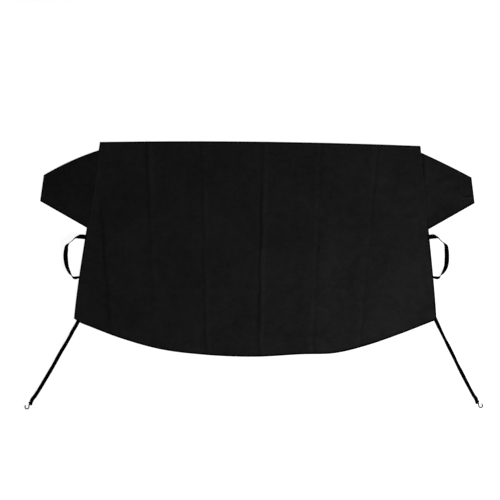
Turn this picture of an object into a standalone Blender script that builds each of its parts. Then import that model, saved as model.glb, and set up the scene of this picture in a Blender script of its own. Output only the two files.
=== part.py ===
"""A windshield frost cover, spread out on a floor with its outer face up.

Metres, +Z up. The cover lies on z = 0, its roof edge towards +Y and its bonnet edge towards -Y.
A tapered fabric panel carries two door flaps, two mirror loops of webbing and, at its lower corners,
two elastic straps that end in open wire hooks.
"""

from math import cos, pi, radians, sin

import bpy
import numpy as np

# Corners of the panel, from the middle of the cover
TOP_LEFT_X = -0.677
TOP_LEFT_Y = 0.4605
TOP_RIGHT_X = 0.7015
TOP_RIGHT_Y = 0.4433
LOW_LEFT_X = -0.7884
LOW_LEFT_Y = -0.2990
LOW_RIGHT_X = 0.7699
LOW_RIGHT_Y = -0.2933

# How far each edge bulges past the straight line between its corners
TOP_CROWN = 0.010
LEFT_SIDE_BULGE = 0.0045
RIGHT_SIDE_BULGE = 0.0025
SIDE_BULGE_POWER = 3
SIDE_BULGE_REACH = 0.20

# The cut corners that the straps leave from, and the curved bonnet edge between them
LEFT_CUT_ACROSS = 0.0285
LEFT_CUT_DOWN = 0.0188
RIGHT_CUT_ACROSS = 0.0094
RIGHT_CUT_DOWN = 0.0146
LEFT_RAMP = (-0.591, -0.3822)
LEFT_KNEE = (-0.419, -0.4304)
LEFT_SHOULDER = (-0.234, -0.4541)
LOWEST_POINT = (-0.006, -0.463)
RIGHT_OF_LOWEST = (0.190, -0.4527)
RIGHT_KNEE = (0.338, -0.4468)
RIGHT_SHOULDER = (0.476, -0.4128)
RIGHT_RAMP = (0.613, -0.3655)

# Cloth
PANEL_THICKNESS = 0.0016
WING_THICKNESS = 0.0013
HEM_WIDTH = 0.015
HEM_RISE = 0.0008
HEM_STEP = 0.003
HEM_LINES = (0.0, HEM_WIDTH - HEM_STEP, HEM_WIDTH)
LAP_DEPTH = 0.016
LAP_SPARE = 0.005
LAP_RAMP = 0.025
CORNER_LAP = 0.055
CLEARANCE = 0.0003

# Packing creases that stand up from the panel: x at the roof edge, x at the bonnet edge, height
CREASE_HALF_WIDTH = 0.026
CREASE_SHARPNESS = 1.6
CREASE_GRID = (-1, -1 / 3, 0, 1 / 3, 1)
CREASES = (
    (-0.472, -0.436, 0.0040),
    (-0.236, -0.218, 0.0035),
    (0.029, 0.010, 0.0055),
    (0.277, 0.241, 0.0045),
    (0.515, 0.450, 0.0035),
)
# Fainter creases near the sides, and two across the panel
OUTER_CREASE_HALF_WIDTH = 0.034
OUTER_CREASES = (
    (-0.690, -0.624, 0.0030),
    (0.708, 0.655, 0.0025),
)
CROSS_CREASE_HALF_WIDTH = 0.030
CROSS_CREASES = (
    (0.134, 0.0020),
    (-0.172, 0.0025),
)

# Door flaps: where each leaves the panel's side, and its two outer corners
LEFT_WING_TOP_Y = 0.4304
LEFT_WING_LOW_Y = 0.0835
LEFT_WING_OUTER_TOP = (-0.9183, 0.3186)
LEFT_WING_OUTER_LOW = (-0.9342, 0.2062)
LEFT_WING_TOP_BULGE = 0.009
RIGHT_WING_TOP_Y = 0.4218
RIGHT_WING_LOW_Y = 0.0765
RIGHT_WING_OUTER_TOP = (0.9208, 0.3079)
RIGHT_WING_OUTER_LOW = (0.9342, 0.1972)
RIGHT_WING_TOP_BULGE = 0.003
WING_WAVE = 0.0018
WING_WAVES = 3

# Mirror loops of webbing: the edge that rests on the floor, outwards and along Y from where it starts
WEBBING_WIDTH = 0.020
WEBBING_THICKNESS = 0.0012
WEBBING_FOLDED_WIDTH = 0.0095
LOOP_STEP = 0.0045
LEFT_LOOP_START_Y = 0.0425
RIGHT_LOOP_START_Y = 0.0425
# Each point: outwards, along Y, lean of the webbing in degrees, 0 flat and 90 on its edge
LEFT_LOOP_ROUTE = (
    (0.0000, 0.0000, 0),
    (0.0140, 0.0012, 6),
    (0.0270, 0.0024, 30),
    (0.0385, 0.0040, 70),
    (0.0560, -0.0082, 84),
    (0.0680, -0.0190, 80),
    (0.0712, -0.0270, 56),
    (0.0723, -0.0480, 26),
    (0.0734, -0.0697, 14),
    (0.0722, -0.0910, 18),
    (0.0701, -0.1127, 36),
    (0.0640, -0.1342, 52),
    (0.0585, -0.1490, 68),
    (0.0545, -0.1590, 82),
    (0.0485, -0.1606, 48),
    (0.0400, -0.1600, 14),
    (0.0310, -0.1588, 0),
    (0.0270, -0.1585, 0),
)
RIGHT_LOOP_ROUTE = (
    (0.0000, 0.0000, 0),
    (0.0150, 0.0017, 6),
    (0.0260, 0.0030, 34),
    (0.0350, 0.0044, 70),
    (0.0490, -0.0078, 84),
    (0.0604, -0.0180, 78),
    (0.0634, -0.0270, 50),
    (0.0645, -0.0480, 26),
    (0.0649, -0.0697, 15),
    (0.0643, -0.0910, 14),
    (0.0628, -0.1127, 30),
    (0.0562, -0.1342, 50),
    (0.0502, -0.1480, 68),
    (0.0455, -0.1580, 82),
    (0.0395, -0.1604, 48),
    (0.0305, -0.1600, 14),
    (0.0180, -0.1588, 0),
    (0.0130, -0.1585, 0),
)
LOOP_UNFOLD_LENGTH = 0.045

# Elastic straps: the middle of each strap, outwards and along Y from the middle of its cut corner
ELASTIC_WIDTH = 0.0165
ELASTIC_THICKNESS = 0.0013
STRAP_STEP = 0.006
STRAP_INSET = 0.028
# How far towards the middle the left strap comes out, from the middle of its cut corner
LEFT_STRAP_ASIDE = 0.005
# Each point: outwards, along Y, lean in degrees
LEFT_STRAP_ROUTE = (
    (0.0072, -0.0229, 2),
    (0.0174, -0.0396, 2),
    (0.0308, -0.0659, 18),
    (0.0426, -0.0872, 25),
    (0.0556, -0.1089, 4),
    (0.0646, -0.1235, 0),
    (0.0808, -0.1519, 2),
    (0.1017, -0.1906, 16),
    (0.1220, -0.2250, 0),
    (0.1424, -0.2594, 3),
    (0.1628, -0.2938, 15),
    (0.1848, -0.3270, 3),
    (0.1944, -0.3395, 0),
    (0.1980, -0.3500, 0),
    (0.1990, -0.3593, 0),
)
RIGHT_STRAP_ROUTE = (
    (0.0128, -0.0278, 6),
    (0.0230, -0.0493, 28),
    (0.0333, -0.0708, 34),
    (0.0441, -0.0925, 35),
    (0.0550, -0.1138, 15),
    (0.0768, -0.1568, 19),
    (0.0950, -0.1955, 28),
    (0.1128, -0.2299, 3),
    (0.1303, -0.2643, 16),
    (0.1484, -0.2987, 25),
    (0.1672, -0.3320, 14),
    (0.1744, -0.3420, 4),
    (0.1772, -0.3515, 0),
    (0.1780, -0.3612, 0),
)

# The end of each strap, gathered round the hook's bar and turned back on itself
FOLD_WIDTH = 0.0100
FOLD_NARROWING = 0.014
FOLD_SEGMENTS = 8
TAIL_LENGTH = 0.0105
TAIL_WIDTH = 0.0165
TAIL_FLARE = 0.0034
TAIL_LANDS = 0.0068
TAIL_SHIFT = 0.0032
TAIL_SEGMENTS = 7

# Wire hooks
WIRE_RADIUS = 0.0026
HOOK_RADIUS = 0.0084
HOOK_SWEEP_LEFT = 226
HOOK_SWEEP_RIGHT = 242
HOOK_SHANK = 0.0122
HOOK_BEND_SPARE = 0.0005
HOOK_BEND = WIRE_RADIUS + HOOK_BEND_SPARE
HOOK_BAR_SPARE = 0.0006
HOOK_BEND_SEGMENTS = 4
HOOK_SHANK_SEGMENTS = 3
HOOK_ARC_SEGMENTS = 20
WIRE_RESOLUTION = 3

# Spacing of the cloth's grid
COARSE_STEP = 0.055
FINE_STEP = 0.026
ROW_STEP = 0.100
WING_STEP = 0.035
ANY_STEP = 1.0
SHARP_TURN = 40


def smooth_through(knots, values, at):
    """The values at some places of a smooth line through the knots, its slopes set by their neighbours."""
    knots = np.asarray(knots, float)
    values = np.asarray(values, float)
    slopes = np.gradient(values, knots)
    index = np.clip(np.searchsorted(knots, at) - 1, 0, len(knots) - 2)
    span = knots[index + 1] - knots[index]
    t = (at - knots[index]) / span
    return (
        (1 + 2 * t) * (1 - t) ** 2 * values[index]
        + t * (1 - t) ** 2 * span * slopes[index]
        + t**2 * (3 - 2 * t) * values[index + 1]
        + t**2 * (t - 1) * span * slopes[index + 1]
    )


def top_edge_y(x):
    """The roof edge: a straight line between its corners with a shallow crown."""
    share = (x - TOP_LEFT_X) / (TOP_RIGHT_X - TOP_LEFT_X)
    straight = TOP_LEFT_Y + share * (TOP_RIGHT_Y - TOP_LEFT_Y)
    return straight + 4 * TOP_CROWN * share * (1 - share)


def bottom_edge_y(x):
    """The bonnet edge: a cut corner at each end and one smooth curve between them."""
    left_end = (LOW_LEFT_X + LEFT_CUT_ACROSS, LOW_LEFT_Y - LEFT_CUT_DOWN)
    right_end = (LOW_RIGHT_X - RIGHT_CUT_ACROSS, LOW_RIGHT_Y - RIGHT_CUT_DOWN)
    curve = (
        left_end,
        LEFT_RAMP,
        LEFT_KNEE,
        LEFT_SHOULDER,
        LOWEST_POINT,
        RIGHT_OF_LOWEST,
        RIGHT_KNEE,
        RIGHT_SHOULDER,
        RIGHT_RAMP,
        right_end,
    )
    knots, levels = zip(*curve)
    inside = np.clip(x, left_end[0], right_end[0])
    left_slope = LEFT_CUT_DOWN / LEFT_CUT_ACROSS
    right_slope = RIGHT_CUT_DOWN / RIGHT_CUT_ACROSS
    cut = left_slope * np.maximum(left_end[0] - x, 0) + right_slope * np.maximum(x - right_end[0], 0)
    return smooth_through(knots, levels, inside) + cut


def side_bulge(y, low_y, top_y, bulge):
    """How far a side stands out past its straight line: most where the mirror loop pulls on it."""
    down = np.clip((top_y - y) / (top_y - low_y), 0, 1)
    peak = SIDE_BULGE_POWER**SIDE_BULGE_POWER / (SIDE_BULGE_POWER + 1) ** (SIDE_BULGE_POWER + 1)
    return bulge / peak * down**SIDE_BULGE_POWER * (1 - down)


def left_edge_x(y):
    """The panel's left side: a straight line between its corners with a bulge low down."""
    share = (TOP_LEFT_Y - y) / (TOP_LEFT_Y - LOW_LEFT_Y)
    straight = TOP_LEFT_X + share * (LOW_LEFT_X - TOP_LEFT_X)
    return straight - side_bulge(y, LOW_LEFT_Y, TOP_LEFT_Y, LEFT_SIDE_BULGE)


def right_edge_x(y):
    """The panel's right side, drawn like the left one."""
    share = (TOP_RIGHT_Y - y) / (TOP_RIGHT_Y - LOW_RIGHT_Y)
    straight = TOP_RIGHT_X + share * (LOW_RIGHT_X - TOP_RIGHT_X)
    return straight + side_bulge(y, LOW_RIGHT_Y, TOP_RIGHT_Y, RIGHT_SIDE_BULGE)


def side_lift():
    """How high the panel's sides lie, over whatever is sewn under them."""
    return max(WING_THICKNESS, WEBBING_THICKNESS, ELASTIC_THICKNESS) + CLEARANCE


def filled(knots, steps):
    """The knots in order with evenly spaced ones between them, no further apart than each gap's step."""
    out = [knots[0]]
    for start, end, step in zip(knots, knots[1:], steps):
        gap = np.abs(np.subtract(end, start)).max()
        count = max(1, int(np.ceil(gap / step)))
        out += [np.add(start, np.subtract(end, start) * k / count) for k in range(1, count + 1)]
    return np.array(out, float)


def panel_columns():
    """The panel's grid columns, as x at the roof edge and x at the bonnet edge, left to right."""
    lifted = LAP_DEPTH + LAP_SPARE
    margins = (*HEM_LINES, lifted, lifted + LAP_RAMP)
    left = sorted({*margins, LEFT_CUT_ACROSS})
    right = sorted({*margins, RIGHT_CUT_ACROSS}, reverse=True)
    knots = [(TOP_LEFT_X + d, LOW_LEFT_X + d) for d in left]
    steps = [ANY_STEP] * (len(left) - 1)
    for number, (at_top, at_bottom, _) in enumerate(CREASES):
        steps.append(COARSE_STEP if number else FINE_STEP)
        for share in CREASE_GRID:
            shift = share * CREASE_HALF_WIDTH
            knots.append((at_top + shift, at_bottom + shift))
        steps += [ANY_STEP] * (len(CREASE_GRID) - 1)
    knots += [(TOP_RIGHT_X - d, LOW_RIGHT_X - d) for d in right]
    steps += [FINE_STEP] + [ANY_STEP] * (len(right) - 1)
    return filled(knots, steps)


def rows_between(start, end):
    """Even rows between two rows, neither of them among these."""
    count = max(1, round(float(np.mean(start - end)) / ROW_STEP))
    return [start + (end - start) * k / count for k in range(1, count)]


def panel_rows(top_y, bottom_y):
    """The y of every grid row in every column: hems, cross creases and even rows between them."""
    levels = [top_y - d for d in HEM_LINES]
    for crease_y, _ in sorted(CROSS_CREASES, reverse=True):
        crease = [np.full_like(top_y, crease_y + share * CROSS_CREASE_HALF_WIDTH) for share in (1, 0, -1)]
        levels += rows_between(levels[-1], crease[0]) + crease
    ends = [bottom_y + d for d in reversed(HEM_LINES)]
    return np.array(levels + rows_between(levels[-1], ends[0]) + ends)


def ridge(distance, half_width, height):
    """A crease's section: a soft crest that runs out flat at its half width."""
    near = np.clip(1 - np.abs(distance) / half_width, 0, 1)
    return height * near**CREASE_SHARPNESS


def panel_height(x, y, off_side, off_corner):
    """The height of the panel's underside: creases, and a lift over what is sewn under its edges."""
    height = np.zeros_like(x)
    low, high = bottom_edge_y(x), top_edge_y(x)
    down = (high - y) / (high - low)
    for at_top, at_bottom, rise in CREASES:
        height = np.maximum(height, ridge(x - at_top - down * (at_bottom - at_top), CREASE_HALF_WIDTH, rise))
    for at_top, at_bottom, rise in OUTER_CREASES:
        across = x - at_top - down * (at_bottom - at_top)
        height = np.maximum(height, ridge(across, OUTER_CREASE_HALF_WIDTH, rise))
    for level, rise in CROSS_CREASES:
        height = np.maximum(height, ridge(y - level, CROSS_CREASE_HALF_WIDTH, rise))
    lifted = LAP_DEPTH + LAP_SPARE
    lap = np.interp(off_side, (lifted, lifted + LAP_RAMP), (1, 0))
    corner = np.interp(off_corner, (CORNER_LAP, CORNER_LAP + LAP_RAMP), (1, 0))
    return np.maximum(height, side_lift() * np.maximum(lap, corner))


def soft_piece(name, points, faces):
    """A mesh object shaded smooth, with its sharp turns kept sharp."""
    mesh = bpy.data.meshes.new(name)
    mesh.from_pydata(points.tolist(), [], faces)
    mesh.update()
    mesh.shade_smooth()
    mesh.set_sharp_from_angle(angle=radians(SHARP_TURN))
    piece = bpy.data.objects.new(name, mesh)
    bpy.context.collection.objects.link(piece)
    return piece


def closed_sheet(name, x, y, under, over):
    """One closed body between two height fields on the same grid of rows and columns."""
    rows, columns = x.shape
    count = rows * columns
    points = np.concatenate(
        [np.stack([x, y, under], -1).reshape(-1, 3), np.stack([x, y, over], -1).reshape(-1, 3)]
    )
    index = np.arange(count).reshape(rows, columns)
    a, b, c, d = index[:-1, :-1], index[1:, :-1], index[1:, 1:], index[:-1, 1:]
    above = np.stack([a, b, c, d], -1).reshape(-1, 4) + count
    below = np.stack([d, c, b, a], -1).reshape(-1, 4)
    rim = np.concatenate([index[0], index[1:, -1], index[-1, -2::-1], index[-2:0:-1, 0]])
    after = np.roll(rim, -1)
    walls = np.stack([rim, rim + count, after + count, after], -1)
    faces = np.concatenate([above, below, walls])
    return soft_piece(name, points, faces.tolist())


def hem_rise(distance):
    """How much the turned hem adds to the cloth, by distance from the edge."""
    return HEM_RISE * np.interp(distance, (HEM_WIDTH - HEM_STEP, HEM_WIDTH), (1, 0))


def make_panel():
    """The fabric panel, on a grid whose lines follow its edges, hems and creases."""
    columns = panel_columns()
    top_x, bottom_x = columns.T
    top_y, bottom_y = top_edge_y(top_x), bottom_edge_y(bottom_x)
    y = panel_rows(top_y, bottom_y)
    share = (top_y - y) / (top_y - bottom_y)
    straight = top_x + share * (bottom_x - top_x)
    from_left, from_right = top_x - TOP_LEFT_X, TOP_RIGHT_X - top_x
    pull_left = np.clip(1 - from_left / SIDE_BULGE_REACH, 0, 1)
    pull_right = np.clip(1 - from_right / SIDE_BULGE_REACH, 0, 1)
    x = (
        straight
        - pull_left * side_bulge(y, LOW_LEFT_Y, TOP_LEFT_Y, LEFT_SIDE_BULGE)
        + pull_right * side_bulge(y, LOW_RIGHT_Y, TOP_RIGHT_Y, RIGHT_SIDE_BULGE)
    )
    off_side = np.broadcast_to(np.minimum(from_left, from_right), x.shape)
    off_corner = np.minimum(
        np.hypot(x - LOW_LEFT_X, y - LOW_LEFT_Y), np.hypot(x - LOW_RIGHT_X, y - LOW_RIGHT_Y)
    )
    off_ends = np.minimum(top_y - y, y - bottom_y)
    under = panel_height(x, y, off_side, off_corner)
    over = under + PANEL_THICKNESS + hem_rise(np.minimum(off_side, off_ends))
    return closed_sheet("cover_panel", x, y, under, over)


def make_wing(name, side, top_y, low_y, outer_top, outer_low, top_bulge):
    """A door flap: its inner margin lies under the panel's side, and its other three edges are hemmed."""
    edge_x = right_edge_x if side > 0 else left_edge_x
    inner_top = np.array([edge_x(top_y) - side * LAP_DEPTH, top_y])
    inner_low = np.array([edge_x(low_y) - side * LAP_DEPTH, low_y])
    length = np.linalg.norm(np.subtract(outer_top, inner_top))
    flat_from = LAP_DEPTH + LAP_RAMP
    knots = (0, LAP_DEPTH, flat_from, length - HEM_WIDTH, length - HEM_WIDTH + HEM_STEP, length)
    out = filled([(d,) for d in knots], [ANY_STEP, ANY_STEP, WING_STEP, ANY_STEP, ANY_STEP])[:, 0]
    share = (out / length)[:, None]
    bulge = top_bulge * 4 * share * (1 - share) * np.array([0.0, 1.0])
    top = inner_top + share * (np.array(outer_top) - inner_top) + bulge
    low = inner_low + share * (np.array(outer_low) - inner_low)
    drop = np.linalg.norm(top - low, axis=1)
    count = max(2, round(float(drop[0]) / WING_STEP))
    middle = [HEM_WIDTH + (drop - 2 * HEM_WIDTH) * k / count for k in range(1, count)]
    depth = np.array([0 * drop + d for d in HEM_LINES] + middle + [drop - d for d in reversed(HEM_LINES)])
    down = (depth / drop)[..., None]
    spot = top + down * (low - top)
    x, y = spot[..., 0], spot[..., 1]
    lap_level = side_lift() - CLEARANCE - WING_THICKNESS
    free = np.interp(out, (LAP_DEPTH, flat_from), (0, 1))
    fade = np.interp(out, (flat_from, length), (1, 0))
    wave = WING_WAVE * np.sin(pi * WING_WAVES * down[..., 0]) ** 2 * fade
    under = lap_level * (1 - free) + wave * free
    off_edge = np.minimum(np.minimum(depth, drop - depth), length - out)
    over = under + WING_THICKNESS + hem_rise(off_edge) * free
    return closed_sheet(name, *(grid[:, ::side] for grid in (x, y, under, over)))


def smooth_route(points, step):
    """The rows of points on one smooth curve through them, evenly spaced along its length."""
    points = np.asarray(points, float)
    legs = np.linalg.norm(np.diff(points[:, :2], axis=0), axis=1)
    along = np.concatenate([[0], np.cumsum(legs)])
    count = int(np.ceil(along[-1] / step))
    at = np.linspace(0, along[-1], count + 1)
    return np.stack([smooth_through(along, points[:, k], at) for k in range(points.shape[1])], -1)


def headings(line):
    """The level unit direction of travel at each point of a line."""
    run = np.gradient(line[:, :2], axis=0)
    run /= np.linalg.norm(run, axis=1, keepdims=True)
    return np.column_stack([run, np.zeros(len(run))])


def ribbon(name, centre, across, normal, width, thickness):
    """A flat band along a line: across and normal are unit vectors, and its ends are closed."""
    half = across * np.reshape(width, (-1, 1)) / 2
    rise = normal * thickness / 2
    corners = (-half - rise, half - rise, half + rise, rise - half)
    rings = np.stack([centre + corner for corner in corners], 1)
    if np.cross(across[0], normal[0]) @ (centre[1] - centre[0]) < 0:
        rings = rings[:, ::-1]
    count = len(centre)
    index = np.arange(count * 4).reshape(count, 4)
    after = np.roll(index, -1, axis=1)
    sides = np.stack([index[:-1], after[:-1], after[1:], index[1:]], -1).reshape(-1, 4)
    ends = [index[0][::-1].tolist(), index[-1].tolist()]
    return soft_piece(name, rings.reshape(-1, 3), sides.tolist() + ends)


def make_loop(name, side, start_y, route):
    """A mirror loop: webbing that leaves the panel flat, turns on its edge, leans out and comes back."""
    edge_x = right_edge_x if side > 0 else left_edge_x
    start_x = edge_x(start_y)
    end_y = route[-1][1]
    end_out = abs(edge_x(start_y + end_y)) - abs(start_x)
    line = smooth_route([(-LAP_DEPTH, 0, 0), *route, (end_out - LAP_DEPTH, end_y, 0)], LOOP_STEP)
    low = np.column_stack([start_x + side * line[:, 0], start_y + line[:, 1], np.zeros(len(line))])
    run = headings(low)
    outer = np.cross(run, [0, 0, 1]) * -side
    lean = np.radians(np.clip(line[:, 2], 0, 90))[:, None]
    across = np.cos(lean) * outer + np.sin(lean) * np.array([0, 0, 1])
    normal = np.cos(lean) * np.array([0, 0, 1]) - np.sin(lean) * outer
    steps = np.linalg.norm(np.diff(low, axis=0), axis=1)
    to_end = np.cumsum(np.concatenate([[0], steps[::-1]]))[::-1]
    width = np.interp(
        to_end, (LAP_DEPTH, LAP_DEPTH + LOOP_UNFOLD_LENGTH), (WEBBING_FOLDED_WIDTH, WEBBING_WIDTH)
    )
    low[:, 2] = side_lift() - CLEARANCE - WEBBING_THICKNESS
    centre = low + across * width[:, None] / 2 + normal * WEBBING_THICKNESS / 2
    return ribbon(name, centre, across, normal, width, WEBBING_THICKNESS)


def cut_corner(side):
    """The middle of a lower corner's cut, where its strap comes out."""
    if side > 0:
        return np.array([LOW_RIGHT_X - RIGHT_CUT_ACROSS / 2, LOW_RIGHT_Y - RIGHT_CUT_DOWN / 2])
    return np.array([LOW_LEFT_X + LEFT_CUT_ACROSS / 2, LOW_LEFT_Y - LEFT_CUT_DOWN / 2])


def strap_line(side, route):
    """The strap's run on the floor, from under the panel's corner to the hook's bar: x, y, lean."""
    corner = cut_corner(side)
    spots = [(corner[0] + side * out, corner[1] + y, lean) for out, y, lean in route]
    leaves = corner + np.array([LEFT_STRAP_ASIDE if side < 0 else 0, 0])
    back = leaves - np.array(spots[0][:2])
    back /= np.linalg.norm(back)
    inside = leaves + back * STRAP_INSET
    return smooth_route([(*inside, 0), (*leaves, 0)] + spots, STRAP_STEP)


def bar_level():
    """The height of the hook's bar, on the elastic that passes under it."""
    return ELASTIC_THICKNESS + CLEARANCE + WIRE_RADIUS


def make_strap(name, side, route):
    """An elastic strap: flat from the corner to the hook's bar, round the bar, and back on itself."""
    line = strap_line(side, route)
    run = headings(line)
    right = np.cross(run, [0, 0, 1])
    lean = np.radians(np.clip(line[:, 2], 0, 90))[:, None]
    up = np.array([0, 0, 1])
    across = np.cos(lean) * right + np.sin(lean) * up
    normal = np.cos(lean) * up - np.sin(lean) * right
    steps = np.linalg.norm(np.diff(line[:, :2], axis=0), axis=1)
    to_bar = np.cumsum(np.concatenate([[0], steps[::-1]]))[::-1]
    width = np.interp(to_bar, (0, FOLD_NARROWING), (FOLD_WIDTH, ELASTIC_WIDTH))
    level = ELASTIC_THICKNESS / 2 * np.cos(lean[:, 0]) + width / 2 * np.sin(lean[:, 0])
    seat = side_lift() - CLEARANCE - ELASTIC_THICKNESS
    from_start = to_bar[0] - to_bar
    level += seat * np.interp(from_start, (STRAP_INSET, STRAP_INSET + LAP_RAMP), (1, 0))
    floor = np.column_stack([line[:, :2], level])

    ahead, sideways = run[-1], right[-1]
    bar = np.array([*line[-1, :2], bar_level()])
    turn = WIRE_RADIUS + CLEARANCE + ELASTIC_THICKNESS / 2
    angle = np.linspace(-pi / 2, pi / 2, FOLD_SEGMENTS + 1)[1:, None]
    bend = bar + turn * (np.cos(angle) * ahead + np.sin(angle) * up)
    bend_normal = -(np.cos(angle) * ahead + np.sin(angle) * up)
    back = np.linspace(0, TAIL_LENGTH, TAIL_SEGMENTS + 1)[1:, None]
    landing = ELASTIC_THICKNESS + CLEARANCE + ELASTIC_THICKNESS / 2
    drop = np.interp(back, (TAIL_FLARE, TAIL_LANDS), (bar_level() + turn, landing))
    shift = np.interp(back, (0, TAIL_LANDS), (0, TAIL_SHIFT))
    tail = bar * (1, 1, 0) - back * ahead + drop * up - side * shift * sideways
    slope = np.gradient(np.concatenate([bend[-1:], tail]), axis=0)[1:]
    slope /= np.linalg.norm(slope, axis=1, keepdims=True)
    tail_normal = np.cross(np.broadcast_to(sideways, slope.shape), slope)
    tail_normal /= np.linalg.norm(tail_normal, axis=1, keepdims=True)

    centre = np.concatenate([floor, bend, tail])
    sides = np.concatenate([across, np.broadcast_to(sideways, (len(bend) + len(tail), 3))])
    normals = np.concatenate([normal, bend_normal, tail_normal])
    tail_width = np.interp(back[:, 0], (0, TAIL_FLARE), (FOLD_WIDTH, TAIL_WIDTH))
    widths = np.concatenate([width, np.full(len(bend), FOLD_WIDTH), tail_width])
    return ribbon(name, centre, sides, normals, widths, ELASTIC_THICKNESS)


def make_hook(name, side, route, sweep):
    """An open wire hook: a bar through the strap's fold, a bend, a shank and an open ring of wire."""
    line = strap_line(side, route)
    ahead = headings(line)[-1]
    outer = np.cross(ahead, [0, 0, 1]) * -side
    bar = np.array([*line[-1, :2], 0])
    beside = FOLD_WIDTH / 2 + CLEARANCE + WIRE_RADIUS
    spots = [(-FOLD_WIDTH / 2 - HOOK_BAR_SPARE, 0.0), (0.0, 0.0), (beside - HOOK_BEND, 0.0)]
    for angle in np.linspace(0, pi / 2, HOOK_BEND_SEGMENTS + 1)[1:]:
        spots.append((beside - HOOK_BEND + HOOK_BEND * sin(angle), HOOK_BEND * (1 - cos(angle))))
    spots += [(beside, forth) for forth in np.linspace(HOOK_BEND, HOOK_SHANK, HOOK_SHANK_SEGMENTS + 1)[1:]]
    for angle in np.linspace(0, radians(sweep), HOOK_ARC_SEGMENTS + 1)[1:]:
        spots.append((beside + HOOK_RADIUS * (1 - cos(angle)), HOOK_SHANK + HOOK_RADIUS * sin(angle)))
    curve = bpy.data.curves.new(name, "CURVE")
    curve.dimensions = "3D"
    curve.bevel_depth = WIRE_RADIUS
    curve.bevel_resolution = WIRE_RESOLUTION
    curve.use_fill_caps = True
    spline = curve.splines.new("POLY")
    spline.points.add(len(spots) - 1)
    for point, (out, forth) in zip(spline.points, spots):
        level = np.interp(forth, (HOOK_BEND, HOOK_SHANK), (bar_level(), WIRE_RADIUS))
        point.co = (*(bar + out * outer + forth * ahead)[:2], level, 1)
    piece = bpy.data.objects.new(name, curve)
    bpy.context.collection.objects.link(piece)
    return piece


def finish(name, grey, roughness, metallic):
    """A plain Principled material of one grey."""
    material = bpy.data.materials.new(name)
    material.use_nodes = True
    shader = material.node_tree.nodes["Principled BSDF"]
    shader.inputs["Base Color"].default_value = (grey, grey, grey, 1)
    shader.inputs["Roughness"].default_value = roughness
    shader.inputs["Metallic"].default_value = metallic
    return material


def build():
    """Clear the scene, make every piece and give each its material."""
    for old in list(bpy.data.objects):
        bpy.data.objects.remove(old)
    shell_cloth = finish("black_shell_cloth", grey=0.009, roughness=0.85, metallic=0)
    webbing = finish("black_webbing", grey=0.004, roughness=0.8, metallic=0)
    elastic = finish("black_elastic", grey=0.003, roughness=0.75, metallic=0)
    wire = finish("plated_wire", grey=0.25, roughness=0.35, metallic=1)
    left_roots, right_roots = (LEFT_WING_TOP_Y, LEFT_WING_LOW_Y), (RIGHT_WING_TOP_Y, RIGHT_WING_LOW_Y)
    left_tips = (LEFT_WING_OUTER_TOP, LEFT_WING_OUTER_LOW)
    right_tips = (RIGHT_WING_OUTER_TOP, RIGHT_WING_OUTER_LOW)
    pieces = (
        (make_panel(), shell_cloth),
        (make_wing("left_wing", -1, *left_roots, *left_tips, LEFT_WING_TOP_BULGE), shell_cloth),
        (make_wing("right_wing", 1, *right_roots, *right_tips, RIGHT_WING_TOP_BULGE), shell_cloth),
        (make_loop("left_mirror_loop", -1, LEFT_LOOP_START_Y, LEFT_LOOP_ROUTE), webbing),
        (make_loop("right_mirror_loop", 1, RIGHT_LOOP_START_Y, RIGHT_LOOP_ROUTE), webbing),
        (make_strap("left_strap", -1, LEFT_STRAP_ROUTE), elastic),
        (make_strap("right_strap", 1, RIGHT_STRAP_ROUTE), elastic),
        (make_hook("left_hook", -1, LEFT_STRAP_ROUTE, HOOK_SWEEP_LEFT), wire),
        (make_hook("right_hook", 1, RIGHT_STRAP_ROUTE, HOOK_SWEEP_RIGHT), wire),
    )
    for piece, material in pieces:
        piece.data.materials.append(material)


build()
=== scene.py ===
"""The looks of a black fabric windshield frost cover, spread out flat and seen from straight above.

The panel, the door flaps, the mirror loops, the corner straps and the wire hooks are finer versions of the
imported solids, in the same places.
"""

import logging
from collections.abc import Sequence
from dataclasses import dataclass
from enum import Enum
from typing import Any

import bpy
import numpy as np
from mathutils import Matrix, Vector


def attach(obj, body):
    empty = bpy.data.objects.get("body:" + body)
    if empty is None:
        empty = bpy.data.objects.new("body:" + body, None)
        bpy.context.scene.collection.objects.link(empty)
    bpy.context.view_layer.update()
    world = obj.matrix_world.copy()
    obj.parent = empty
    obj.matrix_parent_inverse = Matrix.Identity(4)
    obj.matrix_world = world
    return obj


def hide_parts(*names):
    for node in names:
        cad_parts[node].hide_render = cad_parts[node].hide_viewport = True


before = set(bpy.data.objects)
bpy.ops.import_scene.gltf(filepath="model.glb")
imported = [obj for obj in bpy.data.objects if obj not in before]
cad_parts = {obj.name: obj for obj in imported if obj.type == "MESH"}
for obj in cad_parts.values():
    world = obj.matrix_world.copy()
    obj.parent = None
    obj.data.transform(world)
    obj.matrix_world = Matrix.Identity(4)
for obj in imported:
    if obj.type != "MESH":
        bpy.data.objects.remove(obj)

Array = np.ndarray
Point = tuple[float, float]
Triple = tuple[float, float, float]

ROOT = "root"
UP = np.array([0, 0, 1])


class Side(Enum):
    """Which side of the cover a piece is on, as the sign of its outward direction along X."""

    LEFT = -1
    RIGHT = 1

    @property
    def word(self) -> str:
        """The side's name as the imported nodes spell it."""
        return self.name.lower()

    @property
    def index(self) -> int:
        """Its place in a pair of values, left before right."""
        return 0 if self is Side.LEFT else 1


# Shader maths


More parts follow.
